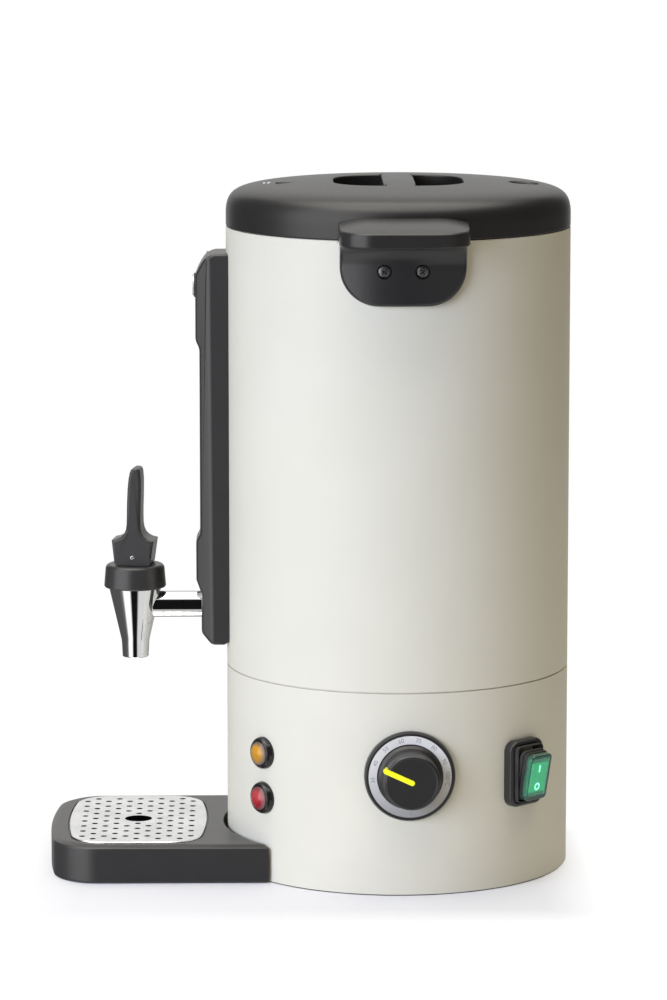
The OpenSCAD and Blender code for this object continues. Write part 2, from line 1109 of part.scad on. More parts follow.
module sight_seals() {
    color("#7a2e22")
        on_axis()
            for (z = [sight_low_z + 0.95, sight_high_z - 0.95])
                translate([0, -column_mid, z])
                    rotate_extrude()
                        translate([4.95, 0])
                            circle(0.9, $fn = 24);
}

module sight_plug() {
    face = column_front + 2.9;
    color(steel)
        on_axis()
            translate([0, 0, plug_z]) {
                rod_y(-column_mid - 5, -column_mid + 3, 4);
                rod_y(-face, -column_mid - 5, 4.1);
                rod_y(-face - 1.2, -face, plug_d / 2);
                rotate([90, 0, 0])
                    translate([0, 0, face + 1.2])
                        cylinder(h = 0.8, r1 = plug_d / 2, r2 = plug_d / 2 - 0.8);
            }
}

// ---- tap ----

module about_spout() {
    on_axis()
        translate([0, -spout_at, 0])
            children();
}

module tap_body() {
    color(steel)
        difference() {
            union() {
                about_spout()
                    rotate_extrude()
                        polygon([
                            [0, spout_z], [9.6, spout_z], [10.25, spout_z + 12.5],
                            [19.3, cone_top_z], [17.5, cone_top_z],
                            [17.5, cone_top_z + 10], [0, cone_top_z + 10]
                        ]);
                on_axis()
                    translate([0, 0, shank_z])
                        rod_y(-spout_at, -tank_r + 12, shank_r);
            }
            about_spout()
                rotate_extrude()
                    polygon([
                        [0, spout_z - past], [6.6, spout_z - past], [6.6, cup_low_z - 2.3],
                        [8, cup_low_z - 0.3], [15, cone_top_z - 3], [15, cone_top_z + 11],
                        [0, cone_top_z + 11]
                    ]);
            on_axis()
                translate([0, 0, shank_z])
                    rod_y(-spout_at, -tank_r + 13, 6);
            on_axis()
                translate([0, -column_mid, shank_z])
                    cylinder(h = 30, r = 2.2, $fn = 48);
        }
}

module tap_nut() {
    color(steel)
        on_axis()
            translate([0, 0, shank_z])
                rotate([-90, 0, 0])
                    difference() {
                        translate([0, 0, -tank_r + 5])
                            cylinder(h = 5, r = 15.5, $fn = 6);
                        translate([0, 0, -tank_r])
                            cylinder(h = 20, r = shank_r);
                    }
}

module tap_washer() {
    color("#7a2e22")
        on_axis()
            difference() {
                translate([0, 0, shank_z])
                    rod_y(-tank_r + 1, -tank_r + 5, 13.5);
                difference() {
                    translate([0, 0, shank_z - 20])
                        cylinder(h = 40, r = tank_r + 10);
                    translate([0, 0, shank_z - 21])
                        cylinder(h = 42, r = tank_r - tank_wall - 0.1, $fn = 360);
                }
                translate([0, 0, shank_z])
                    rod_y(-tank_r - past, 0, shank_r);
            }
}

module tap_bonnet() {
    bonnet_r = bonnet_d / 2;
    low = cone_top_z + 0.1;
    color(black_plastic)
        about_spout()
            rotate_extrude()
                polygon([
                    [17.55, low], [bonnet_r - 0.8, low], [bonnet_r, low + 1],
                    [bonnet_r, low + 4], [bonnet_r - 1.3, bonnet_top_z - 3.6],
                    [bonnet_r - 2.2, bonnet_top_z - 1.4], [bonnet_r - 4.6, bonnet_top_z],
                    [stem_r + running, bonnet_top_z], [stem_r + running, spring_top_z],
                    [14, spring_top_z], [14, cone_top_z + 10.1], [17.55, cone_top_z + 10.1]
                ]);
}

module tap_stem() {
    color(steel)
        about_spout()
            rotate([0, 0, lever_swivel])
                difference() {
                    translate([0, 0, 176.3])
                        cylinder(h = pin_z + 4.5 - 176.3, r = stem_r);
                    for (side = [-1, 1])
                        translate([side * 8.5, 0, pin_z + 2])
                            cube([10, 20, 10], center = true);
                    translate([0, 0, pin_z])
                        rod_x(-10, 10, pin_r + running);
                }
}

module tap_seat_cup() {
    color("#d9d4cf")
        about_spout()
            rotate_extrude()
                polygon([
                    [0, cup_low_z], [7, cup_low_z], [7.5, cup_low_z + 1.5], [7.5, 178],
                    [9, 181], [9, cup_top_z], [stem_r + running, cup_top_z],
                    [stem_r + running, 176], [0, 176]
                ]);
}

// A coil spring swept as rings of points along a helix.
spring_turns = 6;
spring_steps = 14;
spring_sides = 6;
spring_r = 6.6;
spring_wire_r = 0.7;
spring_rings = spring_turns * spring_steps + 1;
spring_low_z = cup_top_z + spring_wire_r;
spring_rise = (spring_top_z - cup_top_z - 2 * spring_wire_r) / (spring_rings - 1);

function spring_point(i, j) =
    let (turn = 360 * i / spring_steps)
    let (side = 360 * j / spring_sides)
    let (reach = spring_r + spring_wire_r * cos(side))
    let (rise = spring_low_z + spring_rise * i)
    [reach * cos(turn), reach * sin(turn), rise + spring_wire_r * sin(side)];

module tap_spring() {
    last = (spring_rings - 1) * spring_sides;
    color("#9a9da0")
        about_spout()
            polyhedron(
                points = [
                    for (i = [0 : spring_rings - 1])
                        for (j = [0 : spring_sides - 1])
                            spring_point(i, j)
                ],
                faces = [
                    for (i = [0 : spring_rings - 2])
                        for (j = [0 : spring_sides - 1])
                            let (next = (j + 1) % spring_sides)
                            [
                                i * spring_sides + j, (i + 1) * spring_sides + j,
                                (i + 1) * spring_sides + next, i * spring_sides + next
                            ],
                    [for (j = [0 : spring_sides - 1]) j],
                    [for (j = [0 : spring_sides - 1]) last + spring_sides - 1 - j]
                ]
            );
}

// A point of the lever's cam, for a tilt in degrees: the foot stays on the bonnet
// while the stem rises by cam_rise for each radian.
function cam_point(tilt) =
    let (drop = foot_drop + cam_rise * tilt * PI / 180)
    [-drop * sin(tilt) - cam_rise * cos(tilt), -drop * cos(tilt) + cam_rise * sin(tilt)];

// The lever's head seen along X, from its pin, and the blade above it.
head_outline = concat(
    [for (tilt = [0 : lever_tilt / 6 : lever_tilt]) cam_point(tilt)],
    [
        [-15.5, 12.6], [-12, 14], [-8.5, 16], [-6, 19], [-5.2, 23],
        [4.2, 23], [5.4, 19], [8, 16], [12, 14], [15.5, 12.6],
        [13.4, -2.5], [11.5, -4.8], [9.5, -foot_drop]
    ]
);

blade_outline = [
    [-5, 18], [-5.3, 30], [-5.2, 42], [-4.6, 52], [-3.4, lever_top_z - pin_z - 3],
    [-2.6, lever_top_z - pin_z - 0.8], [0, lever_top_z - pin_z],
    [4.6, lever_top_z - pin_z - 0.6], [5.6, lever_top_z - pin_z - 3],
    [5.4, 52], [4.4, 30], [4.2, 18]
];

// The room that the stem takes up in the lever as it tilts.
stem_slot = [
    [-5.2, 6.2], [6.1, 6.2], [6.1, -1], [5, -3], [5, -12], [-8.9, -12], [-8.9, -7], [-5.2, 1.5]
];

module lever_slice(outline, depth) {
    plate_x(-depth / 2, depth / 2)
        polygon(outline);
}

module tap_lever() {
    color(black_plastic)
        about_spout()
            rotate([0, 0, lever_swivel])
                translate([0, 0, pin_z])
                    difference() {
                        union() {
                            lever_slice(head_outline, lever_depth);
                            lever_slice(blade_outline, blade_depth);
                        }
                        plate_x(-4.3, 4.3)
                            polygon(stem_slot);
                        rod_x(-20, 20, pin_r);
                    }
}

module tap_lever_pin() {
    color(steel)
        about_spout()
            rotate([0, 0, lever_swivel])
                translate([0, 0, pin_z])
                    rod_x(-lever_depth / 2 - 0.6, lever_depth / 2 + 0.6, pin_r);
}

// ---- drip tray ----

function arc_points(x, y, r, from, to, steps) =
    [for (i = [0 : steps])
        let (a = from + (to - from) * i / steps)
            [x + r * cos(a), y + r * sin(a)]];

// The front half of a bowed outline, from its right side to its left, set in by
// inset. Its front lies at -reach.
function bowed_front(w, reach, corner, inset) =
    let (
        x = w / 2 - corner,
        swing = asin(x / (tray_bow - corner)),
        bow_y = tray_bow - reach,
        y = bow_y - (tray_bow - corner) * cos(swing),
        r = corner - inset
    )
    concat(
        arc_points(-x, y, r, 180, 270 - swing, 16),
        arc_points(0, bow_y, tray_bow - inset, 270 - swing * 0.9, 270 + swing * 0.9, 18),
        arc_points(x, y, r, 270 + swing, 360, 16)
    );

// The tray's outer form: a bowed front with round corners, straight sides and a round
// upper edge.
module tray_form() {
    back_y = -60;
    hull()
        for (a = [0 : 22.5 : 90]) {
            inset = tray_edge * (1 - cos(a));
            linear_extrude(tray_h - tray_edge * (1 - sin(a)))
                polygon(concat(
                    bowed_front(tray_w, tray_reach, tray_corner, inset),
                    [[tray_w / 2 - inset, back_y], [inset - tray_w / 2, back_y]]
                ));
        }
}

module grille_place() {
    translate([0, -grille_at, 0])
        children();
}

// The grille's outline, set in by inset: straight sides, a bowed front and back.
module grille_outline(inset = 0) {
    front = bowed_front(grille_w, grille_l / 2, grille_corner, inset);
    polygon(concat(front, -front));
}

module tray_body() {
    seat_z = tray_h - 1.5;
    color(black_plastic)
        on_axis()
            difference() {
                tray_form();
                translate([0, 0, -past])
                    cylinder(h = tray_h + 5, r = shell_r + 0.6, $fn = 360);
                grille_place() {
                    translate([0, 0, seat_z])
                        linear_extrude(10)
                            grille_outline(-0.5);
                    translate([0, 0, 4])
                        linear_extrude(tray_h)
                            grille_outline(4);
                }
            }
}

module tray_grille() {
    low = tray_h - 1.5 + clear_gap;
    rows = floor((grille_w / 2 - 9) / grille_row);
    color(steel)
        on_axis()
            grille_place()
                translate([0, 0, low])
                    linear_extrude(2)
                        difference() {
                            grille_outline();
                            circle(10);
                            for (i = [-rows : rows])
                                for (j = [-3 : 3]) {
                                    stagger = i % 2 == 0 ? 0 : 0.5;
                                    grille_hole(i * grille_row, (j + stagger) * grille_pitch);
                                }
                        }
}

// One small hole, left out where the plate's edge or its middle hole is too near.
module grille_hole(x, y) {
    edge_x = grille_w / 2 - 6;
    edge_y = grille_l / 2 - 7;
    corner = grille_corner - 6;
    dx = max(0, abs(x) - edge_x + corner);
    dy = max(0, abs(y) - edge_y + corner);
    inside = norm([dx, dy]) < corner && abs(x) < edge_x && abs(y) < edge_y;
    if (inside && norm([x, y]) > 13.5)
        translate([x, y])
            circle(d = grille_hole_d, $fn = 24);
}

// ---- lid ----

// Half of the lid's outline, set in from the outside by inset.
module lid_half(inset, low) {
    intersection() {
        union() {
            translate([0, low])
                square([shell_r - inset, lid_shoulder_z - low]);
            translate([0, low])
                square([lid_flat_r, lid_top_z - low]);
            translate([lid_flat_r, lid_shoulder_z])
                circle(lid_corner - inset);
        }
        translate([0, low])
            square([shell_r + past, lid_top_z - low + past]);
        translate([0, lid_top_z - dome_r])
            circle(dome_r - inset, $fn = 1440);
    }
}

module finger_pockets() {
    difference() {
        translate([0, 0, pocket_floor_z])
            cylinder(h = 40, d = pocket_d);
        translate([-100, -bridge_w / 2, 0])
            cube([200, bridge_w, 600]);
    }
}

module lid_cover() {
    color(black_plastic)
        on_axis()
            difference() {
                union() {
                    rotate_extrude($fn = 180)
                        difference() {
                            lid_half(0, lid_low_z);
                            lid_half(lid_wall, lid_low_z - 5);
                        }
                    intersection() {
                        rotate_extrude($fn = 180)
                            lid_half(1, lid_low_z);
                        union() {
                            translate([0, 0, pocket_floor_z - lid_wall])
                                cylinder(h = 40, d = pocket_d + 2 * lid_wall);
                            for (a = [45 : 90 : 315])
                                rotate([0, 0, a])
                                    translate([114, 0, pan_flange_z + 1])
                                        cylinder(h = 40, r = 4);
                        }
                    }
                }
                finger_pockets();
                translate([-pocket_d / 2 + 6, -bridge_w / 2 + lid_wall, pocket_floor_z - 10])
                    cube([pocket_d - 12, bridge_w - 2 * lid_wall, 20]);
                translate([0, vent_at, 0])
                    cylinder(h = 600, d = vent_d);
            }
}

module lid_inner_plate() {
    color(steel)
        on_axis()
            difference() {
                rotate_extrude()
                    polygon([
                        [0, pan_floor_z], [pan_r - 1, pan_floor_z], [pan_r, pan_floor_z + 1],
                        [pan_r, pan_floor_z + 2], [pan_r + 2.5, pan_floor_z + 2.4],
                        [pan_r + 2.5, pan_floor_z + 3.6], [pan_r, pan_floor_z + 4],
                        [pan_r, pan_flange_z], [inner_r - 3, pan_flange_z],
                        [inner_r - 3, pan_flange_z + 1], [pan_r - 1, pan_flange_z + 1],
                        [pan_r - 1, pan_floor_z + 1.2], [0, pan_floor_z + 1]
                    ]);
                translate([0, vent_at, pan_floor_z - past])
                    cylinder(h = 4, r = 4);
            }
}

module lid_seal() {
    low = pan_floor_z + 4 + clear_gap;
    color("#8a8c8e")
        on_axis()
            rotate_extrude()
                polygon([
                    [pan_r + running, low], [seal_r - 3, low], [seal_r, low + 2.4],
                    [seal_r - 1.5, low + 2.8], [seal_r - 1.5, low + 4],
                    [seal_r, low + 5], [seal_r - 3, low + 6], [pan_r + running, low + 6]
                ]);
}

module lid_vent() {
    top = lid_top_z - 5;
    color(black_plastic)
        on_axis()
            translate([0, vent_at, 0])
                difference() {
                    union() {
                        translate([0, 0, top - 3])
                            cylinder(h = 3, d = vent_d - 0.1);
                        translate([0, 0, top - 5])
                            cylinder(h = 2.4, r = 12);
                    }
                    for (a = [0 : 60 : 300])
                        rotate([0, 0, a])
                            translate([5.5, 0, 0])
                                cylinder(h = 600, r = 1.5, $fn = 32);
                }
}

outer_shell();
base_shell();
inner_tank();
rim_ring();
base_plate();
foot_ring();
base_screws();
tie_rods();
heat_spreader();
heating_element();
heat_shield();
thermostat_body();
thermostat_bulb();
thermal_cutout();
reset_button();
terminal_block();
wiring();
cable_gland();
gland_nut();
dial_bezel();
dial_scale_ring();
knob();
knob_pointer();
thermostat_shaft();
amber_lamp_housing();
amber_lamp_lens();
red_lamp_housing();
red_lamp_lens();
switch_housing();
switch_collar();
switch_rocker();
switch_cover();
right_grip();
right_bracket();
left_grip();
left_bracket();
handle_screws();
sight_cover();
sight_window();
sight_tube();
sight_upper_fitting();
sight_lower_fitting();
sight_seals();
sight_plug();
tap_body();
tap_nut();
tap_washer();
tap_bonnet();
tap_stem();
tap_seat_cup();
tap_spring();
tap_lever();
tap_lever_pin();
tray_body();
tray_grille();
lid_cover();
lid_inner_plate();
lid_seal();
lid_vent();
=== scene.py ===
"""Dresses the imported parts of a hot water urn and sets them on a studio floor."""

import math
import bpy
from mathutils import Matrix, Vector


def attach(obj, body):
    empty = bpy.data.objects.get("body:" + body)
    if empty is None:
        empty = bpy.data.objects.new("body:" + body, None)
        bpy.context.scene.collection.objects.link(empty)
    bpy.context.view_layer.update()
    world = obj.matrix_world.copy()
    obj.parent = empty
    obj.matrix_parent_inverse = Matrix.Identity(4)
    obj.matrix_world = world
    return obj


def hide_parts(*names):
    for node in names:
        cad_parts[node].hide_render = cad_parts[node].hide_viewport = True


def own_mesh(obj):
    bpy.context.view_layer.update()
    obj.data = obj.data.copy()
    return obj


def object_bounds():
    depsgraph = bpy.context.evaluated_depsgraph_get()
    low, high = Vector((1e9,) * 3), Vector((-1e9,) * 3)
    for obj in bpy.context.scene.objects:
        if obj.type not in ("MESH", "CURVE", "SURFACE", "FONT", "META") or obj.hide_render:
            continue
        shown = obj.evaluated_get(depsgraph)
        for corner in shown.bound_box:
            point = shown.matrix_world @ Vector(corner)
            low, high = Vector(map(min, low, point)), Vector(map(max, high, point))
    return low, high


bl_info = {
    "name": "Hot Water Urn",
    "version": (1, 0, 0),
    "blender": (4, 5, 0),
    "location": "3D View > Sidebar > Urn",
    "description": "Dresses the packed parts of a hot water urn and sets the studio",
    "category": "Object",
}

import bmesh
import bpy
from bpy.props import FloatProperty, FloatVectorProperty, PointerProperty
from mathutils import Matrix, Vector
from mathutils.geometry import interpolate_bezier

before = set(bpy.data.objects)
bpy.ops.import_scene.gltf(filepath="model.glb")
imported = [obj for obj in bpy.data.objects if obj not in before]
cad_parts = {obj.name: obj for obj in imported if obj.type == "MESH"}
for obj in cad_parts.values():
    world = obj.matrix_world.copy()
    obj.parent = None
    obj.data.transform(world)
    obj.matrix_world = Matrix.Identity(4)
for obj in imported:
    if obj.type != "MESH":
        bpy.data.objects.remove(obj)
CAD_LOW, CAD_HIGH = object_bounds()

# Shapes are drawn in millimetres round the urn's own axis. Points closer than MERGE
# become one, and what is within LEVEL of a height counts as lying at it.
MM = 0.001
MERGE = 1e-4
LEVEL = 1e-5
SHELL_R = 125
AXIS_Y = CAD_HIGH.y - SHELL_R * MM
TO_FRAME = Matrix.Translation((0, AXIS_Y, 0)) @ Matrix.Scale(MM, 4)

RIM_Z = 468.5
LID_TOP_Z = 502
LID_LOW_Z = 469
LID_FLAT_R = 88
DOME_R = 1433
GRIP_LOW_Z = 468
GRIP_REACH = 178.5
GRIP_HALF = 45.5
SPOUT_AT = 192.3
SHANK_Z = 190
SHANK_R = 9.6
PIN_Z = 226
LEVER_SWIVEL = -8
ROCKER_OUT = 7
ROCKER_TILT = 11
TRAY_H = 28
TRAY_W = 172
TRAY_REACH = 255
TRAY_CORNER = 34
TRAY_BOW = 450
GRILLE_AT = 191
GRILLE_LOW_Z = 26.8

# What sits on the casing's wall has an angle round the urn, in degrees, and a height.
DIAL = (2.5, 87.5)
SWITCH = (44, 83)
GLAND = (150, 30)
LAMP_ANGLE = -52
LAMPS = {"amber": 94.5, "red": 61.5}


# ---- drawing and turning ----


def arc(centre, radius, start, end, steps):
    """Points on an arc, with its angles in degrees."""
    spread = [math.radians(start + (end - start) * i / steps) for i in range(steps + 1)]
    return [
        (centre[0] + radius * math.cos(a), centre[1] + radius * math.sin(a))
        for a in spread
    ]


def filleted(points, steps=6, closed=True):
    """An outline whose points may carry a third number, the radius of that corner."""
    path = []
    count = len(points)
    for i, point in enumerate(points):
        corner = Vector(point[:2])
        end = not closed and i in (0, count - 1)
        if len(point) < 3 or end:
            path.append(tuple(corner))
            continue
        radius = point[2]
        back = (Vector(points[i - 1][:2]) - corner).normalized()
        ahead = (Vector(points[(i + 1) % count][:2]) - corner).normalized()
        half = back.angle(ahead) / 2
        centre = corner + (back + ahead).normalized() * (radius / math.sin(half))
        reach = radius / math.tan(half)
        first = corner + back * reach - centre
        last = corner + ahead * reach - centre
        turn = math.atan2(first.x * last.y - first.y * last.x, first.dot(last))
        begin = math.atan2(first.y, first.x)
        for k in range(steps + 1):
            a = begin + turn * k / steps
            path.append((centre.x + radius * math.cos(a), centre.y + radius * math.sin(a)))
    return path


def circle(radius, steps, centre=(0, 0)):
    """A round outline."""
    return arc(centre, radius, 0, 360, steps)[:-1]


def bowed_front(width, reach, corner, inset=0):
    """The tray's bowed front from its left side to its right, set in by inset."""
    x = width / 2 - corner
    centre = TRAY_BOW - reach
    swing = math.degrees(math.asin(x / (TRAY_BOW - corner)))
    y = centre - math.sqrt((TRAY_BOW - corner) ** 2 - x**2)
    radius = corner - inset
    return (
        arc((-x, y), radius, 180, 270 - swing, 16)
        + arc((0, centre), TRAY_BOW - inset, 270 - 0.9 * swing, 270 + 0.9 * swing, 18)
        + arc((x, y), radius, 270 + swing, 360, 16)
    )


def turned(path, steps, closed=False):
    """A solid whose path of radii and heights goes round Z, closed or from axis to axis."""
    bm = bmesh.new()
    verts = [bm.verts.new((r, 0, z)) for r, z in path]
    edges = [bm.edges.new(pair) for pair in zip(verts, verts[1:])]
    if closed:
        edges.append(bm.edges.new((verts[-1], verts[0])))
    bmesh.ops.spin(
        bm,
        geom=verts + edges,
        cent=(0, 0, 0),
        axis=(0, 0, 1),
        angle=math.tau,
        steps=steps,
        use_merge=True,
    )
    bmesh.ops.remove_doubles(bm, verts=bm.verts[:], dist=MERGE)
    bmesh.ops.recalc_face_normals(bm, faces=bm.faces[:])
    return bm


def drum(radius, low, high, steps):
    """A plain round solid."""
    return turned([(0, low), (radius, low), (radius, high), (0, high)], steps)


def level_with(item, z):
    """Whether an edge or a face lies flat at that height."""
    return all(abs(vert.co.z - z) < LEVEL for vert in item.verts)


def slab(outline, low, high, edge_low=0, edge_high=0, rings=3):
    """A solid of that outline in X and Y, with round lower and upper edges."""
    bm = bmesh.new()
    face = bm.faces.new([bm.verts.new((x, y, low)) for x, y in outline])
    made = bmesh.ops.extrude_face_region(bm, geom=[face], use_keep_orig=True)
    top = [item for item in made["geom"] if isinstance(item, bmesh.types.BMVert)]
    bmesh.ops.translate(bm, verts=top, vec=(0, 0, high - low))
    bmesh.ops.recalc_face_normals(bm, faces=bm.faces[:])
    for z, radius in ((low, edge_low), (high, edge_high)):
        if radius:
            round_off(bm, [e for e in bm.edges if level_with(e, z)], radius, rings)
    return bm


def round_off(bm, edges, radius, rings=3):
    """Rounds those edges."""
    bmesh.ops.bevel(
        bm,
        geom=edges,
        offset=radius,
        offset_type="OFFSET",
        segments=rings,
        profile=0.5,
        affect="EDGES",
        clamp_overlap=False,
        material=-1,
    )
    bmesh.ops.remove_doubles(bm, verts=bm.verts[:], dist=MERGE)


def sharp_edges(bm, degrees, test):
    """The edges that turn by more than that, where test holds for their middle."""
    limit = math.radians(degrees)
    return [
        edge for edge in bm.edges
        if len(edge.link_faces) == 2 and edge.calc_face_angle() > limit
        and test((edge.verts[0].co + edge.verts[1].co) / 2)
    ]


def block(size, low, high, **edges):
    """A block about the origin: its width, height, corner radius and steps."""
    width, height, radius, steps = size
    x, y = width / 2, height / 2
    corners = [(-x, -y, radius), (x, -y, radius), (x, y, radius), (-x, y, radius)]
    return slab(filleted(corners, steps), low, high, **edges)


def step_in(bm, faces, width, rise):
    """Insets flat faces that lie together and moves them up."""
    bmesh.ops.inset_region(bm, faces=faces, thickness=width, depth=0)
    verts = list({vert for face in faces for vert in face.verts})
    bmesh.ops.translate(bm, verts=verts, vec=(0, 0, rise))


def turn(bm, degrees, axis):
    """Turns a mesh about an axis through the origin."""
    bm.transform(Matrix.Rotation(math.radians(degrees), 4, axis))
    return bm


def shift(bm, x=0, y=0, z=0):
    """Moves a mesh."""
    bm.transform(Matrix.Translation((x, y, z)))
    return bm


def facing_out(bm, angle, z):
    """Puts a mesh whose +Z faces out onto the casing's wall, its +Y upwards."""
    turn(bm, 90, "X")
    turn(bm, 90, "Z")
    shift(bm, x=SHELL_R, z=z)
    return turn(bm, angle, "Z")


def seated(bm, angle, z):
    """Puts a mesh on the casing's wall and trims what lies behind the wall's face."""
    return combined(facing_out(bm, angle, z), drum(SHELL_R - 0.3, z - 60, z + 60, 240))


def joined(*meshes):
    """One mesh of several, which share no faces."""
    whole = bmesh.new()
    for bm in meshes:
        part = bpy.data.meshes.new("part")
        bm.to_mesh(part)
        bm.free()
        whole.from_mesh(part)
        bpy.data.meshes.remove(part)
    return whole


def combined(bm, other, operation="DIFFERENCE"):
    """A solid after the other one is cut from it, joined to it or crossed with it."""
    objects = []
    for name, source in (("kept", bm), ("tool", other)):
        mesh = bpy.data.meshes.new(name)
        source.to_mesh(mesh)
        source.free()
        objects.append(bpy.data.objects.new(name, mesh))
        bpy.context.scene.collection.objects.link(objects[-1])
    kept, tool = objects
    cut = kept.modifiers.new("cut", "BOOLEAN")
    cut.operation = operation
    cut.solver = "EXACT"
    cut.object = tool
    result = bmesh.new()
    result.from_object(kept, bpy.context.evaluated_depsgraph_get())
    for item in objects:
        mesh = item.data
        bpy.data.objects.remove(item)
        bpy.data.meshes.remove(mesh)
    bmesh.ops.remove_doubles(result, verts=result.verts[:], dist=MERGE)
    return result


def piece(name, bm, body, finish, replaces=(), smooth=32, even=True):
    """Makes a finished piece of a mesh: its body, finish and smooth faces."""
    if not bm.faces:
        raise RuntimeError(f"{name} has no faces")
    bm.transform(TO_FRAME)
    mesh = bpy.data.meshes.new(name)
    bm.to_mesh(mesh)
    bm.free()
    mesh.shade_smooth()
    mesh.set_sharp_from_angle(angle=math.radians(smooth))
    item = bpy.data.objects.new(name, mesh)
    bpy.context.scene.collection.objects.link(item)
    mesh.materials.append(finish)
    if even:
        shading = item.modifiers.new("even_shading", "WEIGHTED_NORMAL")
        shading.keep_sharp = True
    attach(item, body)
    if replaces:
        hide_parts(*replaces)
    return item


def lettering(text, size, depth):
    """A mesh of that text, about the origin in X and Y."""
    curve = bpy.data.curves.new("lettering", "FONT")
    curve.body = text
    curve.size = size
    curve.extrude = depth / 2
    curve.offset = -0.012 * size
    curve.align_x = "CENTER"
    curve.align_y = "CENTER"
    curve.resolution_u = 4
    holder = bpy.data.objects.new("lettering", curve)
    bpy.context.scene.collection.objects.link(holder)
    mesh = bpy.data.meshes.new_from_object(
        holder.evaluated_get(bpy.context.evaluated_depsgraph_get())
    )
    bm = bmesh.new()
    bm.from_mesh(mesh)
    bpy.data.meshes.remove(mesh)
    bpy.data.objects.remove(holder)
    bpy.data.curves.remove(curve)
    bmesh.ops.remove_doubles(bm, verts=bm.verts[:], dist=MERGE)
    return bm


# ---- finishes ----


class Finish:
    """A procedural material with mottled colour, uneven gloss and a fine relief."""

    def __init__(self, name, **sockets):
        self.material = bpy.data.materials.new(name)
        self.material.use_nodes = True
        self.nodes = self.material.node_tree.nodes
        self.links = self.material.node_tree.links
        self.shader = self.nodes["Principled BSDF"]
        self.place = self.nodes.new("ShaderNodeTexCoord").outputs["Object"]
        self.set(**sockets)

    def set(self, **sockets):
        """Sets values on the shader's own sockets; _ stands for a space."""
        for label, value in sockets.items():
            self.shader.inputs[label.replace("_", " ")].default_value = value
        return self

    def mapped(self, stretch=(1, 1, 1), centre=(0, 0, 0)):
        """Object coordinates, stretched about a centre."""
        mapping = self.nodes.new("ShaderNodeMapping")
        mapping.inputs["Location"].default_value = [-c * s for c, s in zip(centre, stretch)]
        mapping.inputs["Scale"].default_value = stretch
        self.links.new(self.place, mapping.inputs["Vector"])
        return mapping.outputs["Vector"]

    def noise(self, scale, detail=2.0, rough=0.5, where=None):
        """A noise of that many cells to the metre."""
        noise = self.nodes.new("ShaderNodeTexNoise")
        noise.inputs["Scale"].default_value = scale
        noise.inputs["Detail"].default_value = detail
        noise.inputs["Roughness"].default_value = rough
        self.links.new(where or self.place, noise.inputs["Vector"])
        return noise.outputs["Fac"]

    def spread(self, value, low, high, start=0.35, end=0.65):
        """Maps a noise onto a range."""
        span = self.nodes.new("ShaderNodeMapRange")
        for label, number in zip(
            ("From Min", "From Max", "To Min", "To Max"), (start, end, low, high)
        ):
            span.inputs[label].default_value = number
        self.links.new(value, span.inputs["Value"])
        return span.outputs["Result"]

    def distance(self, where):
        """How far each point is from the middle of those coordinates."""
        across = self.nodes.new("ShaderNodeVectorMath")
        across.operation = "LENGTH"
        self.links.new(where, across.inputs[0])
        return across.outputs["Value"]

    def outside(self, middle, half):
        """How far each point lies outside a box."""
        last = self.mapped(centre=middle)
        for operation, second in (
            ("ABSOLUTE", None), ("SUBTRACT", half), ("MAXIMUM", (0, 0, 0)), ("LENGTH", None)
        ):
            step = self.nodes.new("ShaderNodeVectorMath")
            step.operation = operation
            self.links.new(last, step.inputs[0])
            if second:
                step.inputs[1].default_value = second
            last = step.outputs["Value" if operation == "LENGTH" else "Vector"]
        return last

    def blend(self, first, second, share):
        """Mixes two colours, each plain or from a node, by a value."""
        mix = self.nodes.new("ShaderNodeMix")
        mix.data_type = "RGBA"
        for socket, colour in ((mix.inputs[6], first), (mix.inputs[7], second)):
            if isinstance(colour, bpy.types.NodeSocket):
                self.links.new(colour, socket)
            else:
                socket.default_value = (*colour, 1)
        self.links.new(share, mix.inputs["Factor"])
        return mix.outputs[2]

    def colour(self, first, second, share):
        """Mixes two colours onto the shader."""
        self.links.new(self.blend(first, second, share), self.shader.inputs["Base Color"])
        return self

    def gloss(self, value):
        """Drives the roughness."""
        self.links.new(value, self.shader.inputs["Roughness"])
        return self

    def relief(self, height, strength, distance):
        """Raises the surface by a height, in metres at full strength."""
        bump = self.nodes.new("ShaderNodeBump")
        bump.inputs["Strength"].default_value = strength
        bump.inputs["Distance"].default_value = distance
        self.links.new(height, bump.inputs["Height"])
        before = self.shader.inputs["Normal"].links
        if before:
            self.links.new(before[0].from_socket, bump.inputs["Normal"])
        self.links.new(bump.outputs["Normal"], self.shader.inputs["Normal"])
        return self


def tint(colour, factor):
    """A colour made darker or lighter."""
    return tuple(min(1.0, channel * factor) for channel in colour)


def powder_coat(name, colour):
    """Satin powder coat with the slight orange peel of a baked finish."""
    coat = Finish(name, Specular_IOR_Level=0.35)
    coat.colour(tint(colour, 0.985), tint(colour, 1.01), coat.spread(coat.noise(18, 3), 0, 1))
    coat.gloss(coat.spread(coat.noise(420, 2), 0.50, 0.58))
    coat.relief(coat.noise(620, 2, 0.45), 0.12, 0.0004)
    coat.relief(coat.noise(2600, 1), 0.06, 0.0001)
    return coat.material


def moulded(name, colour, gloss=(0.31, 0.33), grain=0.006, **sockets):
    """Moulded plastic with a fine spark eroded grain."""
    plastic = Finish(name, **sockets)
    plastic.colour(colour, tint(colour, 1.05), plastic.spread(plastic.noise(55, 4), 0, 1))
    plastic.gloss(plastic.spread(plastic.noise(240, 3), *gloss))
    plastic.relief(plastic.noise(2200, 2, 0.6), grain, 0.0002)
    return plastic.material


def rubber(name, colour):
    """Matt rubber with a dusty bloom."""
    soft = Finish(name, Specular_IOR_Level=0.3)
    soft.colour(colour, tint(colour, 1.6), soft.spread(soft.noise(90, 5), 0, 1))
    soft.gloss(soft.spread(soft.noise(300, 3), 0.62, 0.8))
    soft.relief(soft.noise(1700, 3), 0.2, 0.0002)
    return soft.material


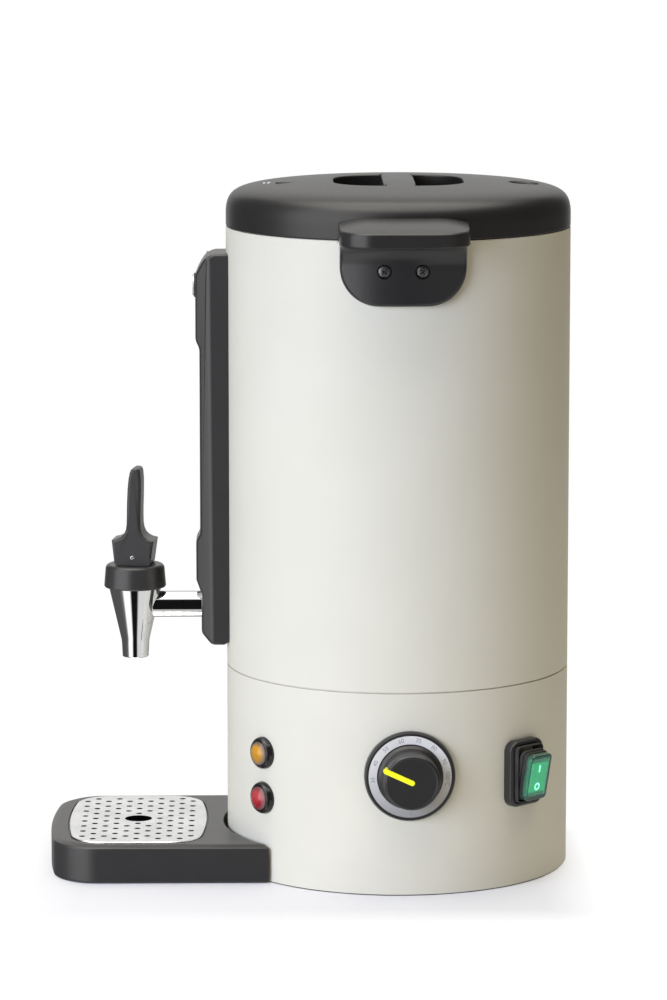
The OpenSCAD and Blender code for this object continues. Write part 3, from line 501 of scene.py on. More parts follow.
def brushed(name, colour, stretch, gloss=(0.22, 0.38)):
    """Metal with fine lines, which run along the axis that is stretched least."""
    metal = Finish(name, Metallic=1.0)
    lines = metal.noise(1, 3, 0.6, metal.mapped(stretch))
    patches = metal.noise(40, 3)
    metal.colour(tint(colour, 0.92), tint(colour, 1.06), metal.spread(patches, 0, 1))
    metal.gloss(metal.spread(lines, *gloss))
    metal.relief(lines, 0.12, 0.0001)
    return metal.material


def polished(name, colour, gloss=(0.03, 0.08)):
    """Plated metal with faint wiping marks."""
    metal = Finish(name, Metallic=1.0)
    metal.colour(tint(colour, 0.97), colour, metal.spread(metal.noise(60, 4), 0, 1))
    metal.gloss(metal.spread(metal.noise(130, 5, 0.6), *gloss))
    metal.relief(metal.noise(90, 2), 0.02, 0.0004)
    return metal.material


def cast(name, colour, gloss=(0.35, 0.55), cells=700):
    """Cast or drawn metal with a dull uneven skin."""
    metal = Finish(name, Metallic=1.0)
    metal.colour(tint(colour, 0.75), tint(colour, 1.1), metal.spread(metal.noise(160, 5), 0, 1))
    metal.gloss(metal.spread(metal.noise(300, 4), *gloss))
    metal.relief(metal.noise(cells, 4), 0.25, 0.0004)
    return metal.material


def lens(name, colour, deep, through=0.45, clear=0.1, **sockets):
    """Tinted translucent plastic."""
    glassy = Finish(name, Transmission_Weight=through, IOR=1.49, Coat_Weight=0.6)
    glassy.set(Coat_Roughness=0.04, **sockets)
    glassy.colour(deep, colour, glassy.spread(glassy.noise(260, 2), 0, 1))
    glassy.gloss(glassy.spread(glassy.noise(500, 2), clear, clear + 0.03))
    glassy.relief(glassy.noise(900, 1), 0.01, 0.0003)
    return glassy.material


def lamp_lens(name, core, deep, rim, z):
    """A clear dome over a coloured core: painted shade makes it deeper below, a painted reflection
    makes it lighter above, and painted shade makes it duller round its rim next to the bezel.
    """
    glassy = Finish(name, Coat_Weight=0.35, Coat_Roughness=0.06)
    spot = glassy.mapped(centre=wall_point(LAMP_ANGLE, z, 5))
    parts = glassy.nodes.new("ShaderNodeSeparateXYZ")
    glassy.links.new(spot, parts.inputs[0])
    # Painted reflection and shade: the core's colour is lighter towards the top of the dome and
    # deeper below.
    painted_light_core = glassy.blend(deep, core, glassy.spread(parts.outputs["Z"], 0, 1, -0.0035, 0.0015))
    # Painted shade round the dome's rim, next to the bezel.
    edge = glassy.spread(glassy.distance(spot), 0, 1, 0.0055, 0.0078)
    glassy.colour(painted_light_core, rim, edge)
    glassy.gloss(glassy.spread(glassy.noise(700, 2), 0.16, 0.22))
    glassy.relief(glassy.noise(1100, 1), 0.04, 0.0003)
    return glassy.material


def scale_finish(name, colour):
    """Satin silver with rings brushed round the dial's middle, its colour painted darker towards
    the bottom and full at the top as painted sheen and shade.
    """
    metal = Finish(name, Metallic=0.35)
    x, y, z = wall_point(*DIAL)
    rings = metal.nodes.new("ShaderNodeTexNoise")
    rings.noise_dimensions = "1D"
    rings.inputs["Scale"].default_value = 5000
    metal.links.new(metal.distance(metal.mapped((0, 1, 1), (x, y, z))), rings.inputs["W"])
    parts = metal.nodes.new("ShaderNodeSeparateXYZ")
    metal.links.new(metal.mapped(centre=(x, y, z)), parts.inputs[0])
    # Painted sheen and shade: the ring's colour runs from a dark copy at its bottom to its full
    # colour at the top.
    height = metal.spread(parts.outputs["Z"], 0, 1, -0.034, 0.012)
    metal.colour(tint(colour, 0.35), colour, height)
    metal.gloss(metal.spread(rings.outputs["Fac"], 0.34, 0.46))
    metal.relief(rings.outputs["Fac"], 0.05, 0.00005)
    return metal.material


def wall_point(angle, z, out=0):
    """A place on the casing's wall, in metres."""
    a = math.radians(angle)
    r = (SHELL_R + out) * MM
    return r * math.cos(a), AXIS_Y + r * math.sin(a), z * MM


def finish_of(label):
    """A finish of the urn by its label, made once."""
    name = "urn_" + label
    if name in bpy.data.materials:
        return bpy.data.materials[name]
    look = bpy.context.scene.urn_colours
    black = tuple(look.plastic)
    steel = (0.62, 0.63, 0.64)
    makers = {
        "paint": lambda n: powder_coat(n, tuple(look.casing)),
        "plastic": lambda n: moulded(n, black),
        "lid_plastic": lambda n: moulded(n, tint(black, 0.5), (0.36, 0.38), 0.004),
        "grip_plastic": lambda n: moulded(n, tint(black, 0.7), (0.28, 0.30), 0.004),
        "satin_plastic": lambda n: moulded(n, tint(black, 0.8), (0.28, 0.30), 0.004),
        "gloss_plastic": lambda n: moulded(n, tint(black, 0.35), (0.13, 0.16), 0.006),
        "rubber": lambda n: rubber(n, tint(black, 0.9)),
        "mark": lambda n: moulded(n, (0.62, 0.62, 0.61), (0.45, 0.6)),
        "white_mark": lambda n: moulded(n, (0.85, 0.9, 0.87), (0.4, 0.5),
                                        Emission_Color=(1, 1, 1, 1), Emission_Strength=2.0),
        "grey_print": lambda n: moulded(n, (0.20, 0.20, 0.205), (0.5, 0.6)),
        "sheet_steel": lambda n: brushed(n, steel, (30, 2500, 2500)),
        "tank_steel": lambda n: brushed(n, steel, (30, 30, 3000)),
        "grille_steel": lambda n: brushed(n, (0.93, 0.93, 0.93), (40, 2200, 2200), (0.26, 0.36)),
        "chrome": lambda n: polished(n, (0.86, 0.86, 0.87)),
        "zinc": lambda n: cast(n, (0.55, 0.56, 0.58), (0.25, 0.4)),
        "dark_zinc": lambda n: cast(n, (0.22, 0.22, 0.225), (0.38, 0.5)),
        "cast_alloy": lambda n: cast(n, (0.45, 0.45, 0.46)),
        "nickel": lambda n: polished(n, (0.66, 0.63, 0.57), (0.12, 0.22)),
        "copper": lambda n: cast(n, (0.72, 0.33, 0.18), (0.25, 0.4), 300),
        "silicone": lambda n: rubber(n, (0.42, 0.41, 0.40)),
        "moulding": lambda n: moulded(n, (0.55, 0.51, 0.43), (0.5, 0.62), 0.2),
        "jacket": lambda n: moulded(n, (0.04, 0.13, 0.42), (0.3, 0.42)),
        "red_button": lambda n: moulded(n, (0.55, 0.03, 0.02), (0.3, 0.4)),
        "pointer": lambda n: moulded(n, tuple(look.pointer), (0.4, 0.5), 0.05),
        "scale": lambda n: scale_finish(n, tuple(look.dial_scale)),
        # Each lamp's deeper lower colour and dark rim colour are painted shade.
        "amber": lambda n: lamp_lens(
            n, tuple(look.amber), tint(look.amber, 0.8), (0.14, 0.10, 0.07), LAMPS["amber"]),
        "red": lambda n: lamp_lens(
            n, tuple(look.red), (0.30, 0.005, 0.014), (0.15, 0.06, 0.055), LAMPS["red"]),
        # The rocker's face is given a faint green glow, as painted light.
        "green": lambda n: lens(n, tuple(look.green), tint(look.green, 0.95), 0, 0.25,
                                Emission_Color=(*look.green, 1), Emission_Strength=0.30),
        # A darker copy of the rocker's green, as painted shade on its sides.
        "green_edge": lambda n: lens(n, (0.02, 0.17, 0.09), (0.018, 0.15, 0.08), 0, 0.25),
        "green_cover": lambda n: lens(n, tuple(look.cover), tint(look.cover, 0.96), 0.95, 0.04),
        "clear": lambda n: lens(n, (0.93, 0.96, 0.96), (0.88, 0.93, 0.93), 0.96, 0.02),
    }
    return makers[label](name)


def repaint(node, label):
    """Gives a CAD node a finish."""
    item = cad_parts[node]
    material = finish_of(label)
    if item.material_slots:
        item.material_slots[0].material = material
    else:
        item.data.materials.append(material)


# ---- sizes and colours ----


def size_property(name, description, default, low, high):
    """A length in metres."""
    return FloatProperty(
        name=name,
        description=description,
        default=default,
        min=low,
        max=high,
        unit="LENGTH",
        precision=4,
    )


def colour_property(name, description, default):
    """A linear colour."""
    return FloatVectorProperty(
        name=name,
        description=description,
        default=default,
        min=0,
        max=1,
        size=3,
        subtype="COLOR",
    )


class UrnSizes(bpy.types.PropertyGroup):
    """The roundings and small sizes of the urn's pieces."""

    seam_round: size_property("Seam", "Radius of the edges at the seam", 0.0005, 0.0002, 0.0008)
    pocket_round: size_property(
        "Pocket rim", "Radius of the rims of the lid's finger pockets", 0.0012, 0.0005, 0.002
    )
    grip_round: size_property("Grip edge", "Radius of a grip's edges", 0.002, 0.0005, 0.003)
    bracket_round: size_property(
        "Bracket edge", "Radius of a bracket's edge", 0.0024, 0.0005, 0.003
    )
    column_round: size_property(
        "Column edge", "Radius of the sight column's edges", 0.002, 0.0003, 0.003
    )
    lever_round: size_property("Lever edge", "Radius of the lever's edges", 0.002, 0.0005, 0.0025)
    tray_round: size_property("Tray edge", "Radius of the tray's upper edge", 0.0017, 0.001, 0.003)
    hole_width: size_property(
        "Grille holes", "Diameter of the grille's small holes", 0.0046, 0.003, 0.005
    )
    figure_size: size_property("Figures", "Height of the dial's figures", 0.0043, 0.003, 0.006)


class UrnColours(bpy.types.PropertyGroup):
    """The colours of the urn's finishes."""

    casing: colour_property("Casing", "Colour of the powder coat", (0.623, 0.576, 0.442))
    plastic: colour_property("Plastic", "Colour of the black mouldings", (0.030, 0.0275, 0.024))
    dial_scale: colour_property("Scale", "Colour of the dial's ring", (0.95, 0.90, 0.81))
    pointer: colour_property("Pointer", "Colour of the knob's pointer", (0.86, 0.84, 0.01))
    amber: colour_property("Amber", "Colour of the upper lamp", (0.55, 0.25, 0.02))
    red: colour_property("Red", "Colour of the lower lamp", (0.42, 0.045, 0.045))
    green: colour_property("Rocker", "Colour of the switch's rocker", (0.006, 0.56, 0.27))
    cover: colour_property("Cover", "Colour of the switch's cover", (0.30, 0.92, 0.66))


class UrnStage(bpy.types.PropertyGroup):
    """The studio's floor and light."""

    floor: colour_property("Floor", "Colour of the studio floor", (0.84, 0.84, 0.84))
    key_power: FloatProperty(
        name="Key light",
        description="Power of the large soft light on the tap's side",
        default=55,
        min=0,
        unit="POWER",
    )
    sky_strength: FloatProperty(
        name="Overhead light",
        description="Strength of the wide light from above",
        default=2.5,
        min=0,
        soft_max=10,
    )
    ambient: FloatProperty(
        name="Ambient",
        description="Strength of the faint light from all round",
        default=0.1,
        min=0,
        soft_max=2,
    )


# ---- pieces ----


class URN_OT_casing(bpy.types.Operator):
    """Make the casing's upper and lower sheets."""

    bl_idname = "urn.casing"
    bl_label = "Casing"

    def execute(self, context):
        edge = context.scene.urn_sizes.seam_round / MM
        upper = [
            (123.8, 147.4, 0.2),
            (SHELL_R, 147.4, edge),
            (SHELL_R, RIM_Z, 1.1),
            (119, RIM_Z, 0.4),
            (119, RIM_Z - 1.2, 0.2),
            (123.8, RIM_Z - 1.2),
        ]
        lower = [
            (113.8, 2),
            (124.25, 2),
            (124.25, 0.7),
            (SHELL_R, 0.7, 0.3),
            (SHELL_R, 146.6, edge),
            (123.6, 146.6),
            (123.6, 155.6, 0.3),
            (122.4, 155.6, 0.3),
            (122.4, 140.6),
            (123.8, 138.6),
            (123.8, 3.2),
            (113.8, 3.2, 0.3),
        ]
        for name, path, node in (
            ("upper_casing", upper, "outer_shell"),
            ("base_casing", lower, "base_shell"),
        ):
            sheet = turned(filleted(path), 240, closed=True)
            piece(name, sheet, "casing", finish_of("paint"), (node,))
        return {"FINISHED"}


def dome_z(radius):
    """The height of the lid's top at a radius."""
    return LID_TOP_Z - DOME_R + math.sqrt(DOME_R**2 - radius**2)


class URN_OT_lid(bpy.types.Operator):
    """Make the lid's cover with its finger pockets, and the steam vent."""

    bl_idname = "urn.lid"
    bl_label = "Lid"

    skirt_top = 478
    pocket_floor = 486
    pocket_half = 47
    pocket_corner = 34
    bridge_half = 11.5
    vent_at = 91
    vent_r = 10.5

    def cover(self, rim):
        """The cover as a turned solid with its pockets cut and rounded."""
        top = [(r, dome_z(r)) for r in (0, 32, 56, 64, 72, 80)]
        # The shoulder leaves the dome along its slope and ends upright at the skirt.
        start = Vector((LID_FLAT_R, dome_z(LID_FLAT_R)))
        slope = Vector((28, -28 * LID_FLAT_R / DOME_R))
        end = Vector((SHELL_R, self.skirt_top))
        shoulder = interpolate_bezier(start, start + slope, end + Vector((0, 17.5)), end, 25)
        skirt = filleted(
            [(SHELL_R, self.skirt_top), (SHELL_R, LID_LOW_Z, 0.7), (122, LID_LOW_Z, 0.5),
             (122, 483, 3), (0, 483)], closed=False)
        cover = turned(top + [tuple(p) for p in shoulder] + skirt[1:], 192)
        half, corner = self.pocket_half, self.pocket_corner
        plan = filleted([(-half, self.bridge_half), (half, self.bridge_half),
                         (half, half, corner), (-half, half, corner)], 14)
        cutters = [slab([(x, side * y) for x, y in plan], self.pocket_floor, 520)
                   for side in (-1, 1)]
        hole = slab(circle(self.vent_r, 48, (0, self.vent_at)), 494, 520)
        cover = combined(cover, joined(*cutters, hole))
        rims = sharp_edges(cover, 50, lambda p: p.z > 495 and math.hypot(p.x, p.y) < 70)
        round_off(cover, rims, rim)
        floors = sharp_edges(cover, 50, lambda p: p.z < 487 and math.hypot(p.x, p.y) < 70)
        round_off(cover, floors, 2)
        vent_rim = sharp_edges(cover, 50, lambda p: p.z > 497 and p.y > 75)
        round_off(cover, vent_rim, 2)
        bmesh.ops.recalc_face_normals(cover, faces=cover.faces[:])
        return cover

    def execute(self, context):
        cover = self.cover(context.scene.urn_sizes.pocket_round / MM)
        black = finish_of("lid_plastic")
        piece("lid_dome", cover, "lid", black, ("lid_cover",), 36)

        grid = slab(circle(10.4, 48), 494, 497, edge_high=0.3)
        holes = [slab(circle(1.5, 16, (5.5 * math.cos(a), 5.5 * math.sin(a))), 480, 510)
                 for a in (math.radians(60 * i) for i in range(6))]
        grid = combined(grid, joined(*holes))
        hub = turned([(0, 496.5), (2.6, 496.5), (2.6, 497.6), (2.1, 498), (0, 498)], 32)
        vent = shift(joined(grid, hub), y=self.vent_at)
        piece("steam_vent", vent, "lid", black, ("lid_vent",))
        self.lock_mark(black)
        return {"FINISHED"}

    def lock_mark(self, black):
        """A raised arrow and two dots that show which way the lid locks."""
        arrow = slab(
            filleted(
                [(-1.1, -1.1, 0.5), (13, -0.7, 0.5), (13, -2.6, 0.4), (20, 0, 0.4),
                 (13, 2.6, 0.4), (13, 0.7, 0.5), (-1.1, 1.1, 0.5)], 4),
            0, 1.8, edge_high=0.4)
        turn(arrow, 90, "Z")
        shift(arrow, y=-88, z=dome_z(88) - 1.0)
        turn(arrow, 4, "Z")
        piece("lock_arrow", arrow, "lid", black)
        dots = [
            shift(turned([(0, -0.6), (1.3, -0.6), (1.3, 0.3), (1.0, 0.6), (0, 0.7)], 20),
                  x, y, dome_z(math.hypot(x, y)))
            for x, y in ((-2.2, -93.5), (2.2, -93.5), (0, -96.8))
        ]
        piece("lock_dots", joined(*dots), "lid", finish_of("mark"))


class URN_OT_handles(bpy.types.Operator):
    """Make both grips, their brackets and the screws."""

    bl_idname = "urn.handles"
    bl_label = "Handles"

    grip_top = 485
    grip_corner = 24
    screw_z = 448
    screw_y = 13.3
    bracket_low = 423.5
    bracket_t = 8
    flare = 16

    def front_reach(self, angle):
        """How far a grip's outline is from the axis in one direction."""
        corner = self.grip_corner
        cx, cy = GRIP_REACH - corner, GRIP_HALF - corner
        a = abs(angle)
        front = GRIP_REACH / math.cos(a)
        if front * math.sin(a) <= cy:
            return front
        side = GRIP_HALF / math.sin(a) if a > 0 else front
        if side * math.cos(a) <= cx:
            return side
        along = cx * math.cos(a) + cy * math.sin(a)
        return along + math.sqrt(along**2 - cx**2 - cy**2 + corner**2)

    def grip(self, edge):
        """A crowned shelf whose root follows the casing."""
        root = SHELL_R + 0.6
        widest = math.asin(GRIP_HALF / root) - 0.004
        bm = bmesh.new()
        bmesh.ops.create_grid(bm, x_segments=16, y_segments=56, size=1)
        for vert in bm.verts:
            share, angle = (vert.co.x + 1) / 2, widest * math.sin(vert.co.y * math.pi / 2)
            reach = root + (self.front_reach(angle) - root) * share
            x, y = reach * math.cos(angle), reach * math.sin(angle)
            fall = 6 * ((x - SHELL_R) / (GRIP_REACH - SHELL_R)) ** 2
            shoulder = 3.5 * max(0, (abs(y) - 22) / (GRIP_HALF - 22)) ** 2
            vert.co = (x, y, self.grip_top - fall - shoulder)
        made = bmesh.ops.extrude_face_region(bm, geom=bm.faces[:], use_keep_orig=True)
        lower = [item for item in made["geom"] if isinstance(item, bmesh.types.BMVert)]
        for vert in lower:
            vert.co.z = GRIP_LOW_Z
        bmesh.ops.recalc_face_normals(bm, faces=bm.faces[:])
        under = [f for f in bm.faces if level_with(f, GRIP_LOW_Z)]
        outer = sharp_edges(bm, 50, lambda p: math.hypot(p.x, p.y) > root + 0.5)
        step_in(bm, under, 3.4, 4)
        round_off(bm, [e for e in outer if e.is_valid], edge, 4)
        bmesh.ops.recalc_face_normals(bm, faces=bm.faces[:])
        return bm

    def bracket(self, edge):
        """A plate that lies round the casing and flares out under the grip."""
        half, corner = GRIP_HALF - 1, 27
        low = self.bracket_low
        plan = filleted([(-half, GRIP_LOW_Z), (-half, low, corner), (half, low, corner),
                         (half, GRIP_LOW_Z)], 14)
        bm = slab(plan, 0, self.bracket_t)
        rim = [e for e in bm.edges if level_with(e, self.bracket_t)
               and min(v.co.y for v in e.verts) < GRIP_LOW_Z - LEVEL]
        round_off(bm, rim, edge, 5)
        # Cuts let the flat plate bend round the casing and out under the grip.
        planes = [((i * 3.2, 0, 0), (1, 0, 0)) for i in range(-13, 14)]
        planes += [((0, z, 0), (0, 1, 0)) for z in (452, 455, 458, 460.5, 462.8, 464.6, 466, 467.2)]
        for point, normal in planes:
            bmesh.ops.bisect_plane(
                bm, geom=bm.verts[:] + bm.edges[:] + bm.faces[:], plane_co=point, plane_no=normal
            )
        holes = [slab(circle(5.2, 40, (s * self.screw_y, self.screw_z)), 4.5, 40) for s in (-1, 1)]
        bm = combined(bm, joined(*holes))
        for vert in bm.verts:
            y, z, depth = vert.co
            rise = max(0, z - GRIP_LOW_Z + self.flare)
            out = self.flare - math.sqrt(max(0, self.flare**2 - rise**2))
            depth += out * depth / self.bracket_t
            vert.co = (math.sqrt((SHELL_R + depth) ** 2 - y**2), y, z)
        bmesh.ops.recalc_face_normals(bm, faces=bm.faces[:])
        return bm

    def screw(self):
        """A cross-head screw whose head faces +X."""
        head = turned(
            [(0, 0), (4.7, 0), (4.7, 1.1), (4.4, 1.7), (3.4, 2.15), (2, 2.35), (0, 2.4)], 40)
        cross = []
        for angle in (45, 135):
            arm = slab([(-3.1, -0.6), (3.1, -0.6), (3.1, 0.6), (-3.1, 0.6)], 0.8, 4)
            for vert in arm.verts:
                if vert.co.z < 2:
                    vert.co.x *= 0.55
                    vert.co.y *= 0.6
            cross.append(turn(arm, angle, "Z"))
        head = combined(head, combined(cross[0], cross[1], "UNION"))
        shank = turned([(0, -12), (1.6, -12), (2, -11), (2, 0.1), (0, 0.1)], 24)
        return turn(joined(head, shank), 90, "Y")

    def execute(self, context):
        sizes = context.scene.urn_sizes
        screws = []
        for side, sign in (("right", 1), ("left", -1)):
            for part, bm in (
                ("grip", self.grip(sizes.grip_round / MM)),
                ("bracket", self.bracket(sizes.bracket_round / MM)),
            ):
                if sign < 0:
                    turn(bm, 180, "Z")
                node = f"{side}_{part}"
                piece(f"{node}_moulding", bm, "casing",
                      finish_of("grip_plastic"), (node,), 40)
            for y in (-self.screw_y, self.screw_y):
                screw = self.screw()
                turn(screw, 20 * y, "X")
                seat = math.sqrt((SHELL_R + 4.5) ** 2 - y**2)
                shift(screw, seat, y, self.screw_z)
                screws.append(turn(screw, 0 if sign > 0 else 180, "Z"))
        piece("cross_head_screws", joined(*screws), "casing",
              finish_of("dark_zinc"), ("handle_screws",))
        return {"FINISHED"}


class URN_OT_sight_column(bpy.types.Operator):
    """Make the sight column's cover and its steel plug."""

    bl_idname = "urn.sight_column"
    bl_label = "Sight column"

    half = 22.5
    root = 118
    edge_y = 136
    front = 144.3
    ridge = 3.2
    low = 163
    top = 449.5
    plug_z = 425

    def form(self):
        """The cover: an outline from above crossed with one from the side."""
        plan = [
            (-self.half, -self.root), (-self.half, -self.edge_y),
            (-13.5, -self.front - self.ridge), (13.5, -self.front - self.ridge),
            (self.half, -self.edge_y), (self.half, -self.root),
        ]
        crown = [(0, 0), (2.5, 1.9), (4.7, 4.3), (6.7, 7.2), (8.5, 10.5), (10, 13.7), (11.2, 17)]
        side = [(self.root, self.top)] + [(self.edge_y + y, self.top - z) for y, z in crown]
        side += [
            (self.front + 2.9, 386), (self.front, 380), (self.front, 244),
            (self.front + 3, 239), (self.front + 3, 210), (self.front - 0.8, 200),
            (self.front - 0.8, self.low + 8), (self.edge_y, self.low), (127, self.low),
            (124.6, self.low + 0.9), (122.8, self.low + 3), (self.root, self.low + 5),
        ]
        prism = slab(plan, self.low - 5, self.top + 5)
        across = slab(side, -40, 40)
        turn(across, 90, "X")
        turn(across, -90, "Z")
        return combined(prism, across, "INTERSECT")

    def execute(self, context):
        edge = context.scene.urn_sizes.column_round / MM
        cover = self.form()
        cavity = block((20, 20, 2, 8), 206, 412)
        shift(cavity, y=-131.5)
        slot = block((12, 124, 6, 8), -20, 20)
        turn(slot, 90, "X")
        shift(slot, y=-140, z=314)
        cover = combined(cover, combined(cavity, slot, "UNION"))
        upper = sharp_edges(cover, 30, lambda p: p.z > self.top - 0.5 and p.y < -self.root - 0.5)
        round_off(cover, upper, 3.6, 5)
        edges = sharp_edges(cover, 24, lambda p: p.y < -self.root - 1 and not (
            abs(p.x) < 10.2 and 200 < p.z < 420 and p.y > -143))
        round_off(cover, edges, edge, 3)
        bmesh.ops.recalc_face_normals(cover, faces=cover.faces[:])
        back = drum(SHELL_R + 0.05, 150, 470, 240)
        cover = combined(cover, back)
        piece("sight_column_cover", cover, "casing",
              finish_of("plastic"), ("sight_cover",), 30)

        face = self.front + 2.9
        plug = turned(
            [(0, -13), (4, -13), (4, -0.5), (7.75, -0.5), (7.75, 1.3), (7.5, 1.8), (7.1, 2.0),
             (6.0, 2.0), (5.7, 1.5), (0, 1.5)], 56)
        piece("plug_disc", self.place(plug, face), "casing",
              finish_of("sheet_steel"), ("sight_plug",))
        washer = turned([(7.8, -1), (8.8, -1), (8.8, 0.6), (8.5, 1), (7.8, 1)], 56, closed=True)
        piece("plug_washer", self.place(washer, face), "casing",
              finish_of("rubber"))
        return {"FINISHED"}

    def place(self, bm, face):
        """Turns a mesh that faces +Z towards the tap, at the plug's place."""
        turn(bm, 90, "X")
        return shift(bm, y=-face, z=self.plug_z)


class URN_OT_tap(bpy.types.Operator):
    """Make the chrome tap body and its black bonnet."""

    bl_idname = "urn.tap"
    bl_label = "Tap"

    def execute(self, context):
        cone = turned(
            filleted([(0, 151), (9.6, 151, 0.9), (10.25, 163.5, 30), (19.3, 203, 0.4),
                      (17.5, 203), (17.5, 213), (0, 213)], 5, closed=False), 128)
        shank = turned(
            filleted([(0, 13), (SHANK_R, 13), (SHANK_R, 96, 0.5), (0, 96)], 5, closed=False), 96)
        room = turned(
            [(0, 150), (7.7, 150)] + arc((7.7, 152.1), 1.1, -90, -180, 5)
            + [(6.6, 170), (8, 172), (15, 200), (15, 214), (0, 214)], 96)
        bore = drum(6, 0, 100, 64)
        for pipe in (shank, bore):
            turn(pipe, -90, "X")
            shift(pipe, z=SHANK_Z)
        cone = combined(cone, shank, "UNION")
        cone = combined(combined(cone, room), bore)
        shift(cone, y=-SPOUT_AT)
        piece("tap_cone", cone, "casing", finish_of("chrome"), ("tap_body",), 30)

        low, top, r = 203.1, 220, 22.7
        bonnet = turned(
            filleted([(17.6, low, 0.3), (r - 0.7, low, 0.3), (r, low + 0.9, 0.5),
                      (r - 1.3, top, 3.3), (13, top, 0.6), (12.4, top - 0.9, 0.6),
                      (4.05, top - 0.9), (4.05, 216), (14, 216), (14, 213.1), (17.6, 213.1)]),
            128, closed=True)
        shift(bonnet, y=-SPOUT_AT)
        piece("tap_bonnet_cap", bonnet, "casing",
              finish_of("plastic"), ("tap_bonnet",), 30)

        low, top = 188, 216
        spring = piece("tap_coil", self.coil(6.6, 0.7, low, top, 6), "casing",
                       finish_of("zinc"), ("tap_spring",), even=False)
        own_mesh(spring)
        return {"FINISHED"}

    @staticmethod
    def coil(radius, wire, low, top, turns):
        """The spring, which stands between two heights."""
        bm = bmesh.new()
        bmesh.ops.create_circle(bm, segments=10, radius=wire)
        turn(bm, 90, "X")
        shift(bm, x=radius, z=low + wire)
        steps = 32 * turns
        bmesh.ops.spin(
            bm,
            geom=bm.verts[:] + bm.edges[:],
            cent=(0, 0, 0),
            axis=(0, 0, 1),
            dvec=(0, 0, (top - low - 2 * wire) / steps),
            angle=math.tau * turns,
            steps=steps,
            use_merge=False,
        )
        bmesh.ops.holes_fill(bm, edges=[e for e in bm.edges if e.is_boundary], sides=0)
        bmesh.ops.recalc_face_normals(bm, faces=bm.faces[:])
        return shift(bm, y=-SPOUT_AT)


class URN_OT_lever(bpy.types.Operator):
    """Make the tap's lever and its pin."""

    bl_idname = "urn.lever"
    bl_label = "Lever"

    rise = 9.5
    drop = 5.7

    def cam(self, tilt):
        """A point of the foot that rolls on the bonnet."""
        a = math.radians(tilt)
        reach = self.drop + self.rise * a
        return (
            -reach * math.sin(a) - self.rise * math.cos(a),
            -reach * math.cos(a) + self.rise * math.sin(a),
        )

    def execute(self, context):
        edge = context.scene.urn_sizes.lever_round / MM
        outline = [self.cam(5 * i) for i in range(7)] + [
            (-15.5, 12.6), (-12.2, 13.4), (-8.8, 14.9), (-6.6, 17), (-5.3, 20), (-4.8, 24),
            (-4.7, 30), (-4.6, 36), (-4.4, 42), (-4, 50), (-3.3, 57), (-2.3, 62.2),
            (-1.3, 64.4), (0.4, 65.5), (3.2, 65.5), (4.6, 64.7), (5.4, 62.8), (5.9, 57),
            (5.9, 50), (5.7, 42), (5.5, 36), (5.4, 30), (5.4, 24), (5.9, 20), (7, 17),
            (9, 14.9), (11.8, 13.4), (15.5, 12.6), (14.3, 4), (13.2, -3), (12.7, -5),
            (11.8, -self.drop),
        ]
        blade = slab(outline, -12, 12)
        for vert in blade.verts:
            share = min(1, max(0, (vert.co.y - 12) / 16))
            vert.co.z *= 1 - 0.25 * share * share * (3 - 2 * share)
        rims = [e for e in blade.edges if abs(e.verts[0].co.z + e.verts[1].co.z) > 8
                and e.verts[0].co.z * e.verts[1].co.z > 0
                and not (e.verts[0].co.y < -2 and e.verts[1].co.y < -2)]
        round_off(blade, rims, edge, 4)
        slot = slab([(-5.2, 6.2), (6.1, 6.2), (6.1, -1), (5, -3), (5, -12), (-8.9, -12),
                     (-8.9, -7), (-5.2, 1.5)], -4.3, 4.3)
        lever = combined(blade, slot)
        lever = combined(lever, shift(drum(1.52, -20, 20, 32)))
        piece("lever_blade", self.place(lever), "tap_lever",
              finish_of("plastic"), ("tap_lever",), 34)
        pin = turned(
            filleted([(0, -12.6), (1.5, -12.6, 0.4), (1.5, 12.6, 0.4), (0.6, 12.6, 0.15),
                      (0.6, 11.4), (0, 11.4)], 4, closed=False), 32)
        piece("lever_pin", self.place(pin), "tap_lever",
              finish_of("chrome"), ("tap_lever_pin",))
        return {"FINISHED"}

    @staticmethod
    def place(bm):
        """Sets what is drawn in Y and Z, with its depth along X, on the stem."""
        bm.transform(Matrix(((0, 0, 1, 0), (1, 0, 0, 0), (0, 1, 0, 0), (0, 0, 0, 1))))
        turn(bm, LEVER_SWIVEL, "Z")
        return shift(bm, y=-SPOUT_AT, z=PIN_Z)


